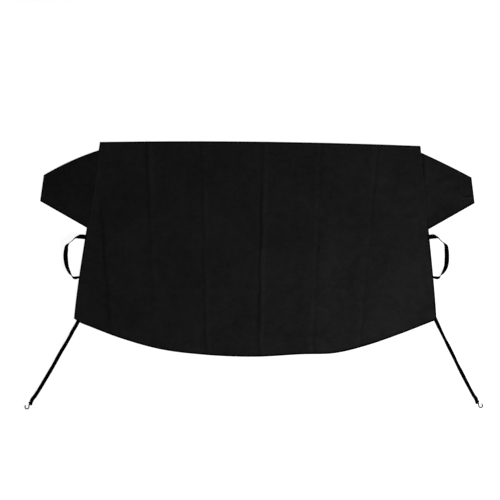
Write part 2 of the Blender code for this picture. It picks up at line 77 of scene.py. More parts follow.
class Signal:
    """A number on its way through a node tree, so that shader maths reads as Python."""

    def __init__(self, graph: "Graph", socket: bpy.types.NodeSocket) -> None:
        """Wrap one output socket of a graph's node."""
        self.graph = graph
        self.socket = socket

    def _maths(self, operation: str, *values: Any) -> "Signal":
        """Add a Math node.

        Args:
            operation: The Math node's operation.
            values: Its inputs in order, signals or numbers.

        Returns:
            The node's result.
        """
        return self.graph.node("ShaderNodeMath", {"operation": operation}, dict(enumerate(values)))["Value"]

    def __add__(self, other: Any) -> "Signal":
        """The sum."""
        return self._maths("ADD", self, other)

    def __radd__(self, other: Any) -> "Signal":
        """The sum, with a number first."""
        return self._maths("ADD", other, self)

    def __sub__(self, other: Any) -> "Signal":
        """The difference."""
        return self._maths("SUBTRACT", self, other)

    def __rsub__(self, other: Any) -> "Signal":
        """A number less this."""
        return self._maths("SUBTRACT", other, self)

    def __mul__(self, other: Any) -> "Signal":
        """The product."""
        return self._maths("MULTIPLY", self, other)

    def __rmul__(self, other: Any) -> "Signal":
        """The product, with a number first."""
        return self._maths("MULTIPLY", other, self)

    def __mod__(self, other: Any) -> "Signal":
        """The remainder, never negative."""
        return self._maths("FLOORED_MODULO", self, other)

    def __abs__(self) -> "Signal":
        """The size without its sign."""
        return self._maths("ABSOLUTE", self)

    def highest(self, other: Any) -> "Signal":
        """The higher of two."""
        return self._maths("MAXIMUM", self, other)

    def sine(self) -> "Signal":
        """The sine, of radians."""
        return self._maths("SINE", self)

    def wave(self, pitch: float) -> "Signal":
        """A wave from -1 to 1 that repeats every pitch metres of this length."""
        return (self * (2 * np.pi / pitch)).sine()


class Outputs:
    """A made node's outputs, by name or by number."""

    def __init__(self, graph: "Graph", made: bpy.types.Node) -> None:
        """Keep the graph and the node."""
        self.graph = graph
        self.made = made

    def __getitem__(self, key: str | int) -> Signal:
        """One output as a signal."""
        return Signal(self.graph, self.made.outputs[key])


class Graph:
    """The node tree of a material or of the world, under construction."""

    def __init__(self, owner: bpy.types.Material | bpy.types.World) -> None:
        """Start from an empty tree."""
        owner.use_nodes = True
        self.owner = owner
        self.tree = owner.node_tree
        self.tree.nodes.clear()

    def node(self, kind: str, settings: dict[str, Any] | None = None,
             sockets: dict[Any, Any] | None = None) -> Outputs:
        """Add any node.

        Args:
            kind: The node's type, such as ShaderNodeBump.
            settings: Its own settings, set first.
            sockets: Values or signals for its inputs, by name or number.

        Returns:
            The node's outputs.
        """
        made = self.tree.nodes.new(kind)
        for key, value in (settings or {}).items():
            setattr(made, key, value)
        for key, value in (sockets or {}).items():
            if isinstance(value, Signal):
                self.tree.links.new(value.socket, made.inputs[key])
            else:
                made.inputs[key].default_value = value
        return Outputs(self, made)

    def noise(self, place: Signal, scale: float, octaves: float, falloff: float = 0.55) -> Signal:
        """Smooth noise from -0.5 to 0.5.

        Args:
            place: Where it is read.
            scale: Cells a metre.
            octaves: How many finer layers it has.
            falloff: Each layer's share of the one before.

        Returns:
            The noise's value.
        """
        sockets = {"Vector": place, "Scale": scale, "Detail": octaves, "Roughness": falloff}
        return self.node("ShaderNodeTexNoise", {}, sockets)["Fac"] - 0.5

    def blend(self, share: Signal, low: Sequence[float], high: Sequence[float]) -> Signal:
        """A colour between two, by a share from 0 to 1."""
        sockets = {0: share, 6: (*low, 1), 7: (*high, 1)}
        return self.node("ShaderNodeMix", {"data_type": "RGBA"}, sockets)[2]

    def bump(self, height: Signal, depth: float, strength: float) -> Signal:
        """A normal bent by a height.

        Args:
            height: The height in units of depth.
            depth: Metres for each unit of height.
            strength: Share of the full bend.

        Returns:
            The bent normal.
        """
        sockets = {"Height": height, "Distance": depth, "Strength": strength}
        return self.node("ShaderNodeBump", {}, sockets)["Normal"]

    def shown(self) -> Signal:
        """1 for rays that meet the white background: the camera's, and those mirrored or let through.

        Returns:
            1 for those rays, 0 for others.
        """
        rays = self.node("ShaderNodeLightPath")
        return rays["Is Camera Ray"].highest(rays["Is Glossy Ray"]).highest(rays["Is Transmission Ray"])

    def surface(self, sockets: dict[str, Any]) -> bpy.types.Material:
        """Close a material's tree with a Principled shader.

        Args:
            sockets: The shader's values and signals, by name.

        Returns:
            The finished material.
        """
        shader = self.node("ShaderNodeBsdfPrincipled", {}, sockets)
        self.node("ShaderNodeOutputMaterial", {}, {"Surface": shader["BSDF"]})
        return self.owner


# Finishes


@dataclass(frozen=True, kw_only=True)
class Grain:
    """A layer of noise in a finish: its cells a metre, and how strongly it varies each value."""

    scale: float
    octaves: float
    tone: float = 0.0
    relief: float = 0.0
    roughness: float = 0.0
    metal: float = 0.0


@dataclass(frozen=True, kw_only=True)
class Finish:
    """A colour between two, with its gloss and relief, all varied by grains and a pattern.

    Middle is the colour's share of the light one, and bump_depth is in metres for each unit of relief.
    """

    name: str
    middle: float = 0.5
    dark: Triple
    light: Triple
    roughness: float
    metal: float = 0.0
    specular: float
    tint: float = 1.0
    bump_depth: float
    bump_strength: float
    grains: tuple[Grain, ...]

    def pattern(self, graph: Graph) -> tuple[Any, Any]:
        """What a weave adds to the colour's share and to the relief: here nothing."""
        return 0.0, 0.0

    def material(self) -> bpy.types.Material:
        """Build the shader: to each value it adds every grain's noise around nought, times its strength.

        Returns:
            The material.
        """
        graph = Graph(bpy.data.materials.new(self.name))
        place = graph.node("ShaderNodeTexCoord")["Object"]
        tone, relief = self.pattern(graph)
        values = {"tone": self.middle + tone, "relief": relief}
        values |= {"roughness": self.roughness, "metal": self.metal}
        for grain in self.grains:
            noise = graph.noise(place, grain.scale, grain.octaves)
            for key in values:
                strength = getattr(grain, key)
                if strength:
                    values[key] = noise * strength + values[key]
        return graph.surface({
            "Base Color": graph.blend(values["tone"], self.dark, self.light),
            "Roughness": values["roughness"],
            "Metallic": values["metal"],
            "Specular IOR Level": self.specular,
            "Specular Tint": (*(self.tint,) * 3, 1),
            "Normal": graph.bump(values["relief"], self.bump_depth, self.bump_strength),
        })


@dataclass(frozen=True, kw_only=True)
class ShellCloth(Finish):
    """Matt black woven polyester with a soft nap: faint mottles, a plain weave, and painted shade that
    darkens the rolled edge.
    """

    dark: Triple = (0.0006, 0.0006, 0.0006)
    light: Triple = (0.0150, 0.0150, 0.0151)
    roughness: float = 0.82
    specular: float = 0.02
    bump_depth: float = 0.00016
    bump_strength: float = 0.8
    # How much the rolled edge's colour is darkened: painted shade for its rounded-over edge
    edge_shade_depth: float = 0.62
    weave_pitch: float = 0.0011
    weave_tone: float = 0.045
    weave_relief: float = 0.35
    grains: tuple[Grain, ...] = (
        Grain(scale=4.5, octaves=3, tone=0.46),
        Grain(scale=26, octaves=2, tone=0.36),
        Grain(scale=75, octaves=3, tone=0.36, relief=2),
        Grain(scale=260, octaves=2, tone=0.26, relief=1.4, roughness=0.15),
        Grain(scale=1500, octaves=2, relief=1),
    )

    def pattern(self, graph: Graph) -> tuple[Signal, Signal]:
        """The weave, a product of two waves, and painted shade: the attribute rolled_edge_and_shade darkens
        the rolled edge.

        Args:
            graph: The material's tree.

        Returns:
            What they add to the colour's share, and to the relief.
        """
        place = graph.node("ShaderNodeTexCoord")["Object"]
        axes = graph.node("ShaderNodeSeparateXYZ", {}, {"Vector": place})
        rolled_edge_and_shade = graph.node("ShaderNodeAttribute", {"attribute_name": "rolled_edge_and_shade"})["Fac"]
        weave = axes["X"].wave(self.weave_pitch) * axes["Y"].wave(self.weave_pitch)
        # Darkening the rolled edge is painted shade, in place of the shade that falls on its rounded-over
        # edge
        return weave * self.weave_tone - rolled_edge_and_shade * self.edge_shade_depth, weave * self.weave_relief


@dataclass(frozen=True, kw_only=True)
class Webbing(Finish):
    """Flat woven webbing or elastic: ribs along it, or a herringbone across it."""

    middle: float = 0.45
    dark: Triple = (0.0001, 0.0001, 0.0001)
    roughness: float = 0.85
    specular: float = 0.004
    bump_depth: float = 0.00012
    bump_strength: float = 0.9
    rib_pitch: float
    band: float
    band_share: float = 0.5
    ribs_lengthwise: bool
    weave_tone: float = 0.22
    grains: tuple[Grain, ...] = (Grain(scale=900, octaves=3, tone=0.9, relief=0.8, roughness=0.2),)

    def pattern(self, graph: Graph) -> tuple[Signal, Signal]:
        """The weave, from the UV map, whose u is metres across the band and v metres along it.

        Args:
            graph: The material's tree.

        Returns:
            What it adds to the colour's share, and to the relief.
        """
        spot = graph.node("ShaderNodeUVMap", {"uv_map": "webbing"})["UV"]
        axes = graph.node("ShaderNodeSeparateXYZ", {}, {"Vector": spot})
        across, along = axes["X"], axes["Y"]
        if self.ribs_lengthwise:
            weave = across.wave(self.rib_pitch) + along.wave(self.band) * self.band_share
        else:
            chevron = abs(across % self.band - self.band / 2)
            weave = (along + chevron).wave(self.rib_pitch)
        return weave * self.weave_tone, weave


@dataclass(frozen=True, kw_only=True)
class Thread(Finish):
    """Black polyester sewing thread, twisted, with a slight gloss."""

    name: str = "black_thread"
    dark: Triple = (0.003, 0.003, 0.003)
    light: Triple = (0.010, 0.010, 0.010)
    roughness: float = 0.5
    specular: float = 0.06
    bump_depth: float = 0.0001
    bump_strength: float = 0.7
    grains: tuple[Grain, ...] = (Grain(scale=2600, octaves=1, tone=1, relief=1, roughness=0.3),)


@dataclass(frozen=True, kw_only=True)
class PlatedWire(Finish):
    """Dark grey plated steel wire: cloudy plating, with fine scuffs in its gloss."""

    name: str = "plated_wire"
    dark: Triple = (0.014, 0.014, 0.015)
    light: Triple = (0.044, 0.044, 0.046)
    roughness: float = 0.40
    metal: float = 0.95
    specular: float = 0.1
    tint: float = 0.12
    bump_depth: float = 0.00004
    bump_strength: float = 0.5
    grains: tuple[Grain, ...] = (
        Grain(scale=160, octaves=3, tone=1),
        Grain(scale=1300, octaves=4, relief=1, roughness=0.35, metal=0.1),
    )


# Shapes


def bell(off: Array, half_width: float) -> Array:
    """A smooth bump: e to the power of minus the square of the distance in half widths."""
    return np.exp(-((off / half_width) ** 2))


def smooth_step(share: Array) -> Array:
    """A step from 0 to 1 without corners: the square of the share times 3 less twice the share."""
    share = np.clip(share, 0, 1)
    return share**2 * (3 - 2 * share)


def distance_along(line: Array) -> Array:
    """How far each point of a line is from its start, along the line."""
    return np.concatenate([[0], np.cumsum(np.linalg.norm(np.diff(line, axis=0), axis=1))])


def through_points(knots: Array, values: Array, at: Array) -> Array:
    """A smooth line through points: cubic pieces whose slopes at the knots come from the neighbours.

    Args:
        knots: Where the points lie, ascending.
        values: The line's value at each knot.
        at: Where the line is read.

    Returns:
        The line's values there.
    """
    slopes = np.gradient(values, knots)
    index = np.clip(np.searchsorted(knots, at) - 1, 0, len(knots) - 2)
    span = knots[index + 1] - knots[index]
    t = (at - knots[index]) / span
    return (
        (1 + 2 * t) * (1 - t) ** 2 * values[index]
        + t * (1 - t) ** 2 * span * slopes[index]
        + t**2 * (3 - 2 * t) * values[index + 1]
        + t**2 * (t - 1) * span * slopes[index + 1]
    )


def spread(length: Array | float, margins: Sequence[float], step: float) -> Array:
    """Places from 0 to a length: the margins at both ends, and even steps of one count between them.

    Args:
        length: The length, or one for each line of a grid.
        margins: Distances from an end, ascending from 0.
        step: The widest step between the margins.

    Returns:
        The places, down the first axis.
    """
    length = np.asarray(length, float)
    edge = margins[-1]
    count = int(np.ceil((length.max() - 2 * edge) / step))
    inner = [edge + (length - 2 * edge) * k / count for k in range(1, count)]
    near = [0 * length + d for d in margins]
    far = [length - d for d in reversed(margins)]
    return np.stack(near + inner + far)


def dressed(name: str, points: Array, faces: list, uv: Array | None = None,
            rolled_edge_and_shade: Array | None = None) -> bpy.types.Object:
    """Put a closed shape into a smooth mesh object that rides on the cover.

    Args:
        name: The object's name.
        points: One row for each vertex.
        faces: Vertex numbers of each face.
        uv: Metres across and along for each vertex, if the piece has a weave of its own.
        rolled_edge_and_shade: For each vertex how much it belongs to a turned edge, from 0 to 1, where the
            cloth's material darkens the colour as painted shade.

    Returns:
        The object.
    """
    mesh = bpy.data.meshes.new(name)
    mesh.from_pydata(points.tolist(), [], faces)
    mesh.shade_smooth()
    if uv is not None:
        corners = np.empty(len(mesh.loops), dtype=np.int32)
        mesh.loops.foreach_get("vertex_index", corners)
        layer = mesh.uv_layers.new(name="webbing")
        layer.data.foreach_set("uv", uv[corners].astype(np.float32).ravel())
    # The turned edge's share, which the cloth's material darkens as painted shade
    if rolled_edge_and_shade is not None:
        values = mesh.attributes.new("rolled_edge_and_shade", "FLOAT", "POINT").data
        values.foreach_set("value", rolled_edge_and_shade.astype(np.float32).ravel())
    mesh.update()
    piece = bpy.data.objects.new(name, mesh)
    bpy.context.collection.objects.link(piece)
    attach(piece, ROOT)
    return piece


def closed_sheet(name: str, x: Array, y: Array, under: Array, over: Array, rolled_edge_and_shade: Array) -> bpy.types.Object:
    """One closed body between two height fields on the same grid.

    Args:
        name: The object's name.
        x: Each grid point's x; columns run towards +X.
        y: Each grid point's y; rows run towards -Y.
        under: The underside's height.
        over: The upper side's height.
        rolled_edge_and_shade: How much each grid point belongs to a turned edge, where the cloth's material
            darkens the colour as painted shade.

    Returns:
        The object.
    """
    rows, columns = x.shape
    count = rows * columns
    points = np.concatenate([np.stack([x, y, z], -1).reshape(-1, 3) for z in (under, over)])
    index = np.arange(count).reshape(rows, columns)
    a, b, c, d = index[:-1, :-1], index[1:, :-1], index[1:, 1:], index[:-1, 1:]
    above = np.stack([a, b, c, d], -1).reshape(-1, 4) + count
    below = np.stack([d, c, b, a], -1).reshape(-1, 4)
    rim = np.concatenate([index[0], index[1:, -1], index[-1, -2::-1], index[-2:0:-1, 0]])
    after = np.roll(rim, -1)
    walls = np.stack([rim, rim + count, after + count, after], -1)
    faces = np.concatenate([above, below, walls]).tolist()
    return dressed(name, points, faces, rolled_edge_and_shade=np.stack([rolled_edge_and_shade, rolled_edge_and_shade]))


def band(name: str, centre: Array, across: Array, normal: Array, width: Array, thickness: float,
         cup: float = 0.0, samples: int = 15) -> bpy.types.Object:
    """A flat band with rounded edges carried along a path.

    The section is a flat oval, 1 less the eighth power of the place across it under a root, and a cup
    lifts its edges by the square of that place.

    Args:
        name: The object's name.
        centre: The band's middle at each step of the path.
        across: Unit vectors across the band.
        normal: Unit vectors out of its face.
        width: Its width at each step.
        thickness: Its thickness.
        cup: How far its edges curl up.
        samples: Points across one face.

    Returns:
        The object.
    """
    place = np.sin(np.linspace(-np.pi / 2, np.pi / 2, samples))
    crown = np.sqrt(np.clip(1 - place**8, 0, 1))
    s = np.concatenate([place, place[-2:0:-1]])
    t = np.concatenate([crown, -crown[-2:0:-1]])
    out = s[None, :, None] * across[:, None, :] * width[:, None, None] / 2
    lift = (t * thickness / 2 + cup * (s**2 - 1 / 3))[None, :, None] * normal[:, None, :]
    rings = centre[:, None, :] + out + lift
    count, sides = rings.shape[:2]
    index = np.arange(count * sides).reshape(count, sides)
    after = np.roll(index, -1, axis=1)
    skin = np.stack([index[:-1], after[:-1], after[1:], index[1:]], -1).reshape(-1, 4)
    caps = np.stack([index[0][::-1], index[-1]])
    if np.cross(across[0], -normal[0]) @ (centre[1] - centre[0]) < 0:
        skin, caps = skin[:, ::-1], caps[:, ::-1]
    faces = skin.tolist() + caps.tolist()
    along = np.broadcast_to(distance_along(centre)[:, None], (count, sides))
    uv = np.stack([s * width[:, None] / 2, along], -1)
    return dressed(name, rings.reshape(-1, 3), faces, uv.reshape(-1, 2))


def tubes(middle: Array, run: Array, thick: Array, sides: int) -> tuple[Array, list]:
    """Closed round tubes along middle lines that never stand upright.

    A point of a ring is its middle, plus its radius times the cosine of its angle beside the line and the
    sine of its angle over it.

    Args:
        middle: The middle lines, by tube and ring.
        run: The unit directions of travel, by tube and ring, or one for each tube.
        thick: The radius at each ring.
        sides: Points of a ring.

    Returns:
        One row for each point, and the point numbers of each face.
    """
    beside = np.cross(run, UP)
    beside = beside / np.linalg.norm(beside, axis=-1, keepdims=True)
    over = np.cross(beside, run)
    angle = np.linspace(0, 2 * np.pi, sides, endpoint=False)[:, None]
    spoke = np.cos(angle) * beside[:, :, None] + np.sin(angle) * over[:, :, None]
    points = middle[:, :, None] + thick[None, :, None, None] * spoke
    ring = np.arange(len(thick) * sides).reshape(-1, sides)
    after = np.roll(ring, -1, axis=1)
    skin = np.stack([ring[:-1], ring[1:], after[1:], after[:-1]], -1).reshape(-1, 4)
    caps = np.stack([ring[0], ring[-1][::-1]])
    jump = (np.arange(len(middle)) * ring.size)[:, None, None]
    faces = (skin[None] + jump).reshape(-1, 4).tolist() + (caps[None] + jump).reshape(-1, sides).tolist()
    return points.reshape(-1, 3), faces


@dataclass(frozen=True)
class Ripples:
    """Small random waves in cloth: plane waves of mixed direction and phase, summed and scaled."""

    wavelength: float
    height: float
    seed: int
    waves: int = 18
    rates: Point = (0.7, 1.4)

    def at(self, x: Array, y: Array) -> Array:
        """The height at some places, mostly within the waves' height either way.

        Args:
            x: The places' x.
            y: The places' y.

        Returns:
            The height.
        """
        random = np.random.default_rng(self.seed)
        heading = random.uniform(0, 2 * np.pi, self.waves)
        phase = random.uniform(0, 2 * np.pi, self.waves)
        rate = 2 * np.pi / self.wavelength * random.uniform(*self.rates, self.waves)
        spot = x[..., None] * rate * np.cos(heading) + y[..., None] * rate * np.sin(heading)
        return self.height * np.sin(spot + phase).sum(-1) / np.sqrt(self.waves / 2)


@dataclass(frozen=True)
class Fold:
    """A short soft fold that runs out at both ends."""

    start: Point
    end: Point
    height: float
    half_width: float

    def at(self, x: Array, y: Array) -> Array:
        """Its height: a bell across it, and half a sine wave along it.

        Args:
            x: The places' x.
            y: The places' y.

        Returns:
            The height.
        """
        start, end = np.array(self.start), np.array(self.end)
        run = end - start
        length = np.hypot(*run)
        run = run / length
        along = ((x - start[0]) * run[0] + (y - start[1]) * run[1]) / length
        off = (x - start[0]) * -run[1] + (y - start[1]) * run[0]
        fade = np.sin(np.pi * np.clip(along, 0, 1))
        return self.height * fade * bell(off, self.half_width)


# The cover's pieces


@dataclass(frozen=True)
class Cloth:
    """Sizes that the panel and the flaps share."""

    panel_thickness: float = 0.0016
    wing_thickness: float = 0.0013
    hem_width: float = 0.015
    hem_rise: float = 0.0008
    hem_step: float = 0.003
    lap_depth: float = 0.016
    lap_spare: float = 0.005
    lap_ramp: float = 0.025
    corner_lap: float = 0.055
    clearance: float = 0.0003
    edge_round: float = 0.0009
    edge_thinning: float = 0.45
    # The rolled edge's band: lifted a little, and darkened by painted shade in the cloth's material
    edge_width: float = 0.0066
    edge_fade: float = 0.0013
    edge_rise: float = 0.0004
    stitch_inset: float = 0.0125
    stitch_pull: float = 0.00045
    stitch_reach: float = 0.0016
    # Where the grids' lines run beside an edge, so that its roll, its hem and its stitches' pull show
    margins: tuple[float, ...] = (
        0, 0.001, 0.0025, 0.0066, 0.0079, 0.0100, 0.0112, 0.0125, 0.0138, 0.0162, 0.0172, 0.0185, 0.021,
    )

    @property
    def side_lift(self) -> float:
        """How high the panel's sides lie, over what is sewn under them."""
        return self.wing_thickness + self.clearance

    def hem(self, distance: Array) -> Array:
        """The turned hem's extra height by distance from the edge, rounded at its step."""
        return self.hem_rise * smooth_step((self.hem_width - distance) / self.hem_step)

    def edge(self, distance: Array) -> Array:
        """What share of its full thickness the cloth has by distance from its edge: it rounds over."""
        return 1 - self.edge_thinning * np.exp(-distance / self.edge_round)

    def rolled_edge_and_shade(self, distance: Array) -> Array:
        """How much the cloth belongs to its rolled edge, by distance from the edge: it lifts the edge a
        little, and the cloth's material darkens it there as painted shade.
        """
        return np.clip(1 - (distance - self.edge_width) / self.edge_fade, 0, 1)

    def valley(self, distance: Array) -> Array:
        """How deep a row of stitches pulls the cloth in, by distance from the edge."""
        return self.stitch_pull * bell(distance - self.stitch_inset, self.stitch_reach)


@dataclass(frozen=True)
class Outline:
    """The panel's outline: a crowned roof edge, two sides that bulge low down, and a curved bonnet edge.

    Cuts are how far each lower corner is cut off across and down, and seam rows are the top and the bottom
    of each flap's seam. In pairs the left side comes first.
    """

    top_left: Point = (-0.677, 0.4605)
    top_right: Point = (0.7015, 0.4433)
    low_left: Point = (-0.7884, -0.2990)
    low_right: Point = (0.7699, -0.2933)
    crown: float = 0.010
    bulges: tuple[float, float] = (0.0045, 0.0025)
    bulge_power: int = 3
    cuts: tuple[Point, Point] = ((0.0285, 0.0188), (0.0094, 0.0146))
    low_edge: tuple[Point, ...] = (
        (-0.591, -0.3822),
        (-0.419, -0.4304),
        (-0.234, -0.4541),
        (-0.006, -0.463),
        (0.190, -0.4527),
        (0.338, -0.4468),
        (0.476, -0.4128),
        (0.613, -0.3655),
    )
    seam_rows: tuple[Point, Point] = ((0.4304, 0.0835), (0.4218, 0.0765))

    def top_y(self, x: Array) -> Array:
        """The roof edge: a straight line and four times crown times share times one less share."""
        share = (x - self.top_left[0]) / (self.top_right[0] - self.top_left[0])
        straight = self.top_left[1] + share * (self.top_right[1] - self.top_left[1])
        return straight + 4 * self.crown * share * (1 - share)

    def bottom_y(self, x: Array) -> Array:
        """The bonnet edge: a smooth line through its points, with a straight cut past each end.

        Args:
            x: Where it is read.

        Returns:
            Its y there.
        """
        (left_across, left_down), (right_across, right_down) = self.cuts
        left_end = (self.low_left[0] + left_across, self.low_left[1] - left_down)
        right_end = (self.low_right[0] - right_across, self.low_right[1] - right_down)
        knots, levels = np.array([left_end, *self.low_edge, right_end]).T
        cut = left_down / left_across * np.maximum(left_end[0] - x, 0)
        cut = cut + right_down / right_across * np.maximum(x - right_end[0], 0)
        return through_points(knots, levels, np.clip(x, left_end[0], right_end[0])) + cut

    def bulge(self, side: Side, y: Array | float) -> Array:
        """How far a side stands out past its straight line: a power of the way down times what is left of it.

        Args:
            side: Which side.
            y: Where it is read.

        Returns:
            The distance outwards.
        """
        top, low = self.ends(side)
        down = np.clip((top[1] - y) / (top[1] - low[1]), 0, 1)
        power = self.bulge_power
        peak = power**power / (power + 1) ** (power + 1)
        return self.bulges[side.index] / peak * down**power * (1 - down)

    def ends(self, side: Side) -> tuple[Point, Point]:
        """A side's top and bottom corner."""
        if side is Side.LEFT:
            return self.top_left, self.low_left
        return self.top_right, self.low_right

    def side_x(self, side: Side, y: Array | float) -> Array:
        """A side's x: the line between its corners, and its bulge.

        Args:
            side: Which side.
            y: Where it is read.

        Returns:
            Its x there.
        """
        top, low = self.ends(side)
        share = (top[1] - y) / (top[1] - low[1])
        return top[0] + share * (low[0] - top[0]) + side.value * self.bulge(side, y)

    def off_side(self, x: Array, y: Array) -> Array:
        """Distance to the nearer side."""
        return np.minimum(x - self.side_x(Side.LEFT, y), self.side_x(Side.RIGHT, y) - x)

    def off_end(self, x: Array, y: Array) -> Array:
        """Distance to the roof edge or the bonnet edge, whichever is nearer."""
        return np.minimum(self.top_y(x) - y, y - self.bottom_y(x))

    def cut_corner(self, side: Side) -> Array:
        """The middle of a lower corner's cut, where its strap comes out."""
        across, down = self.cuts[side.index]
        corner = self.ends(side)[1]
        return np.array([corner[0] - side.value * across / 2, corner[1] - down / 2])


@dataclass(frozen=True)
class Crease:
    """A packing crease down the panel: a sharp crest with a short left flank and a longer right one.

    Where its height is below nought it is a furrow, pressed into a low pillow that spreads to both sides.
    """

    at_top: float
    at_bottom: float
    heights: Triple
    left_width: float
    right_width: float
    power: float = 1.5
    softness: float = 0.0016
    pillow: float = 0.085
    stations: Triple = (0.1, 0.5, 0.9)

    def at(self, x: Array, down: Array, wander: Array) -> Array:
        """Its height: one less the share of its flank's width, to a power.

        Args:
            x: The places' x.
            down: How far down the panel they lie, from 0 to 1.
            wander: How far its line strays sideways there.

        Returns:
            The height.
        """
        off = x - self.at_top - down * (self.at_bottom - self.at_top) - wander
        width = np.where(off < 0, self.left_width, self.right_width)
        away = np.sqrt(off**2 + self.softness**2) - self.softness
        crest = np.clip(1 - away / width, 0, 1) ** self.power
        height = np.interp(down, self.stations, self.heights)
        swell = np.clip(1 - (off / self.pillow) ** 2, 0, 1) ** 2
        return height * crest + np.maximum(-height, 0) * swell


@dataclass
class CoverPanel:
    """The main panel: creased cloth with turned hems and stitched edges."""

    cloth: Cloth
    outline: Outline
    creases: tuple[Crease, ...] = (
        Crease(-0.690, -0.624, (0.0008, 0.0042, 0.0038), 0.013, 0.075),
        Crease(-0.472, -0.436, (0.0038, 0.0022, 0.0010), 0.011, 0.024),
        Crease(-0.236, -0.216, (0.0022, 0.0022, 0.0028), 0.011, 0.022),
        Crease(0.0305, 0.0115, (0.0034, 0.0046, 0.0034), 0.014, 0.017),
        Crease(0.272, 0.238, (-0.0020, -0.0025, -0.0024), 0.012, 0.017),
        Crease(0.5185, 0.441, (-0.0034, -0.0012, -0.0017), 0.020, 0.010),
        Crease(0.708, 0.655, (0.0010, 0.0006, 0.0010), 0.020, 0.030),
    )
    cross_creases: tuple[Point, ...] = ((0.134, 0.0009), (-0.172, 0.0011))
    cross_half_width: float = 0.024
    cross_power: float = 1.6
    wander: Ripples = Ripples(0.16, 0.0012, 5)
    wander_slant: float = 0.6
    fading: Ripples = Ripples(0.35, 0.16, 11)
    slack: Ripples = Ripples(0.22, 0.00032, 7)
    crumple: Ripples = Ripples(0.045, 0.00007, 8)
    pucker: Ripples = Ripples(0.017, 0.00022, 9)
    pucker_reach: float = 0.011
    seam_rise: float = 0.0013
    seam_fade: float = 0.006
    seam_profile: tuple[Point, ...] = ((0.002, 0.6), (0.006, 1), (0.019, 0))
    bulge_reach: float = 0.20
    column_step: float = 0.0052
    row_step: float = 0.0066
    # Where the bonnet edge's row of stitches starts and ends, in insets from the corners
    bonnet_ends: Point = (2.4, 1.4)
    line_samples: tuple[int, int, int] = (400, 600, 700)

    def rise(self, x: Array, y: Array) -> Array:
        """The underside's height: the highest of the creases, the laps and the slack.

        Args:
            x: The places' x.
            y: The places' y.

        Returns:
            The height.
        """
        top, low = self.outline.top_y(x), self.outline.bottom_y(x)
        down = (top - y) / (top - low)
        stray = self.wander.at(y * self.wander_slant, y)
        fade = 1 + self.fading.at(x, y)
        height = np.zeros_like(x)
        for crease in self.creases:
            height = np.maximum(height, crease.at(x, down, stray) * fade)
        for level, rise in self.cross_creases:
            near = np.clip(1 - np.abs(y - level - stray) / self.cross_half_width, 0, 1)
            height = np.maximum(height, rise * near**self.cross_power * fade)
        return np.maximum(height + np.maximum(self.slack.at(x, y), 0), self.lap(x, y))

    def lap(self, x: Array, y: Array) -> Array:
        """The lift over what is sewn under the sides and the lower corners.

        Args:
            x: The places' x.
            y: The places' y.

        Returns:
            The height.
        """
        cloth = self.cloth
        lifted = cloth.lap_depth + cloth.lap_spare
        share = np.interp(self.outline.off_side(x, y), (lifted, lifted + cloth.lap_ramp), (1, 0))
        for corner in (self.outline.low_left, self.outline.low_right):
            off = np.hypot(x - corner[0], y - corner[1])
            reach = (cloth.corner_lap, cloth.corner_lap + cloth.lap_ramp)
            share = np.maximum(share, np.interp(off, reach, (1, 0)))
        return cloth.side_lift * share

    def seam(self, x: Array, y: Array) -> Array:
        """Where a flap is sewn under the nearer side: 1 beside it, and 0 above and below it.

        Args:
            x: The places' x.
            y: The places' y.

        Returns:
            The share.
        """
        (left_top, left_low), (right_top, right_low) = self.outline.seam_rows
        top, low = np.where(x < 0, left_top, right_top), np.where(x < 0, left_low, right_low)
        return np.clip(np.minimum(top - y, y - low) / self.seam_fade + 1, 0, 1)

    def rolled_edge_and_shade(self, x: Array, y: Array) -> Array:
        """How much places belong to the rolled edge, which stops where a flap is sewn on: it lifts the edge,
        and the cloth's colour is darkened there as painted shade.

        Args:
            x: The places' x.
            y: The places' y.

        Returns:
            The share.
        """
        side = self.outline.off_side(x, y) + self.cloth.hem_width * self.seam(x, y)
        return self.cloth.rolled_edge_and_shade(np.minimum(side, self.outline.off_end(x, y)))

    def upper(self, x: Array, y: Array) -> Array:
        """The outer face's height: the underside, the cloth, its hem, its stitches' pull and its puckers.

        Args:
            x: The places' x.
            y: The places' y.

        Returns:
            The height.
        """
        cloth = self.cloth
        edge = np.maximum(np.minimum(self.outline.off_side(x, y), self.outline.off_end(x, y)), 0)
        skin = cloth.panel_thickness * cloth.edge(edge) + cloth.hem(edge) - cloth.valley(edge)
        lapped = np.interp(self.outline.off_side(x, y), *zip(*self.seam_profile))
        skin = skin + self.seam_rise * self.seam(x, y) * lapped * (x < 0)
        skin = skin + cloth.edge_rise * self.rolled_edge_and_shade(x, y)
        gather = self.pucker.at(x, y) * bell(edge - cloth.stitch_inset, self.pucker_reach)
        return self.rise(x, y) + skin + self.crumple.at(x, y) + gather

    def grid(self) -> tuple[Array, Array]:
        """The grid of places: columns follow the creases, and rows the roof and bonnet edges.

        Returns:
            Each place's x and y.
        """
        outline, margins = self.outline, self.cloth.margins
        width = outline.top_right[0] - outline.top_left[0]
        top_x = outline.top_left[0] + spread(width, margins, self.column_step)
        inset, inner = margins[-1], self.creases[1:-1]
        knots = [
            [left[0], left[0] + inset, *middle, right[0] - inset, right[0]]
            for left, middle, right in (
                (outline.top_left, [crease.at_top for crease in inner], outline.top_right),
                (outline.low_left, [crease.at_bottom for crease in inner], outline.low_right),
            )
        ]
        low_x = np.interp(top_x, *knots)
        top_y, low_y = outline.top_y(top_x), outline.bottom_y(low_x)
        y = top_y - spread(top_y - low_y, margins, self.row_step)
        share = (top_y - y) / (top_y - low_y)
        x = top_x + share * (low_x - top_x)
        for side in Side:
            gap = np.abs(outline.ends(side)[0][0] - top_x)
            x = x + side.value * np.clip(1 - gap / self.bulge_reach, 0, 1) * outline.bulge(side, y)
        return x, y

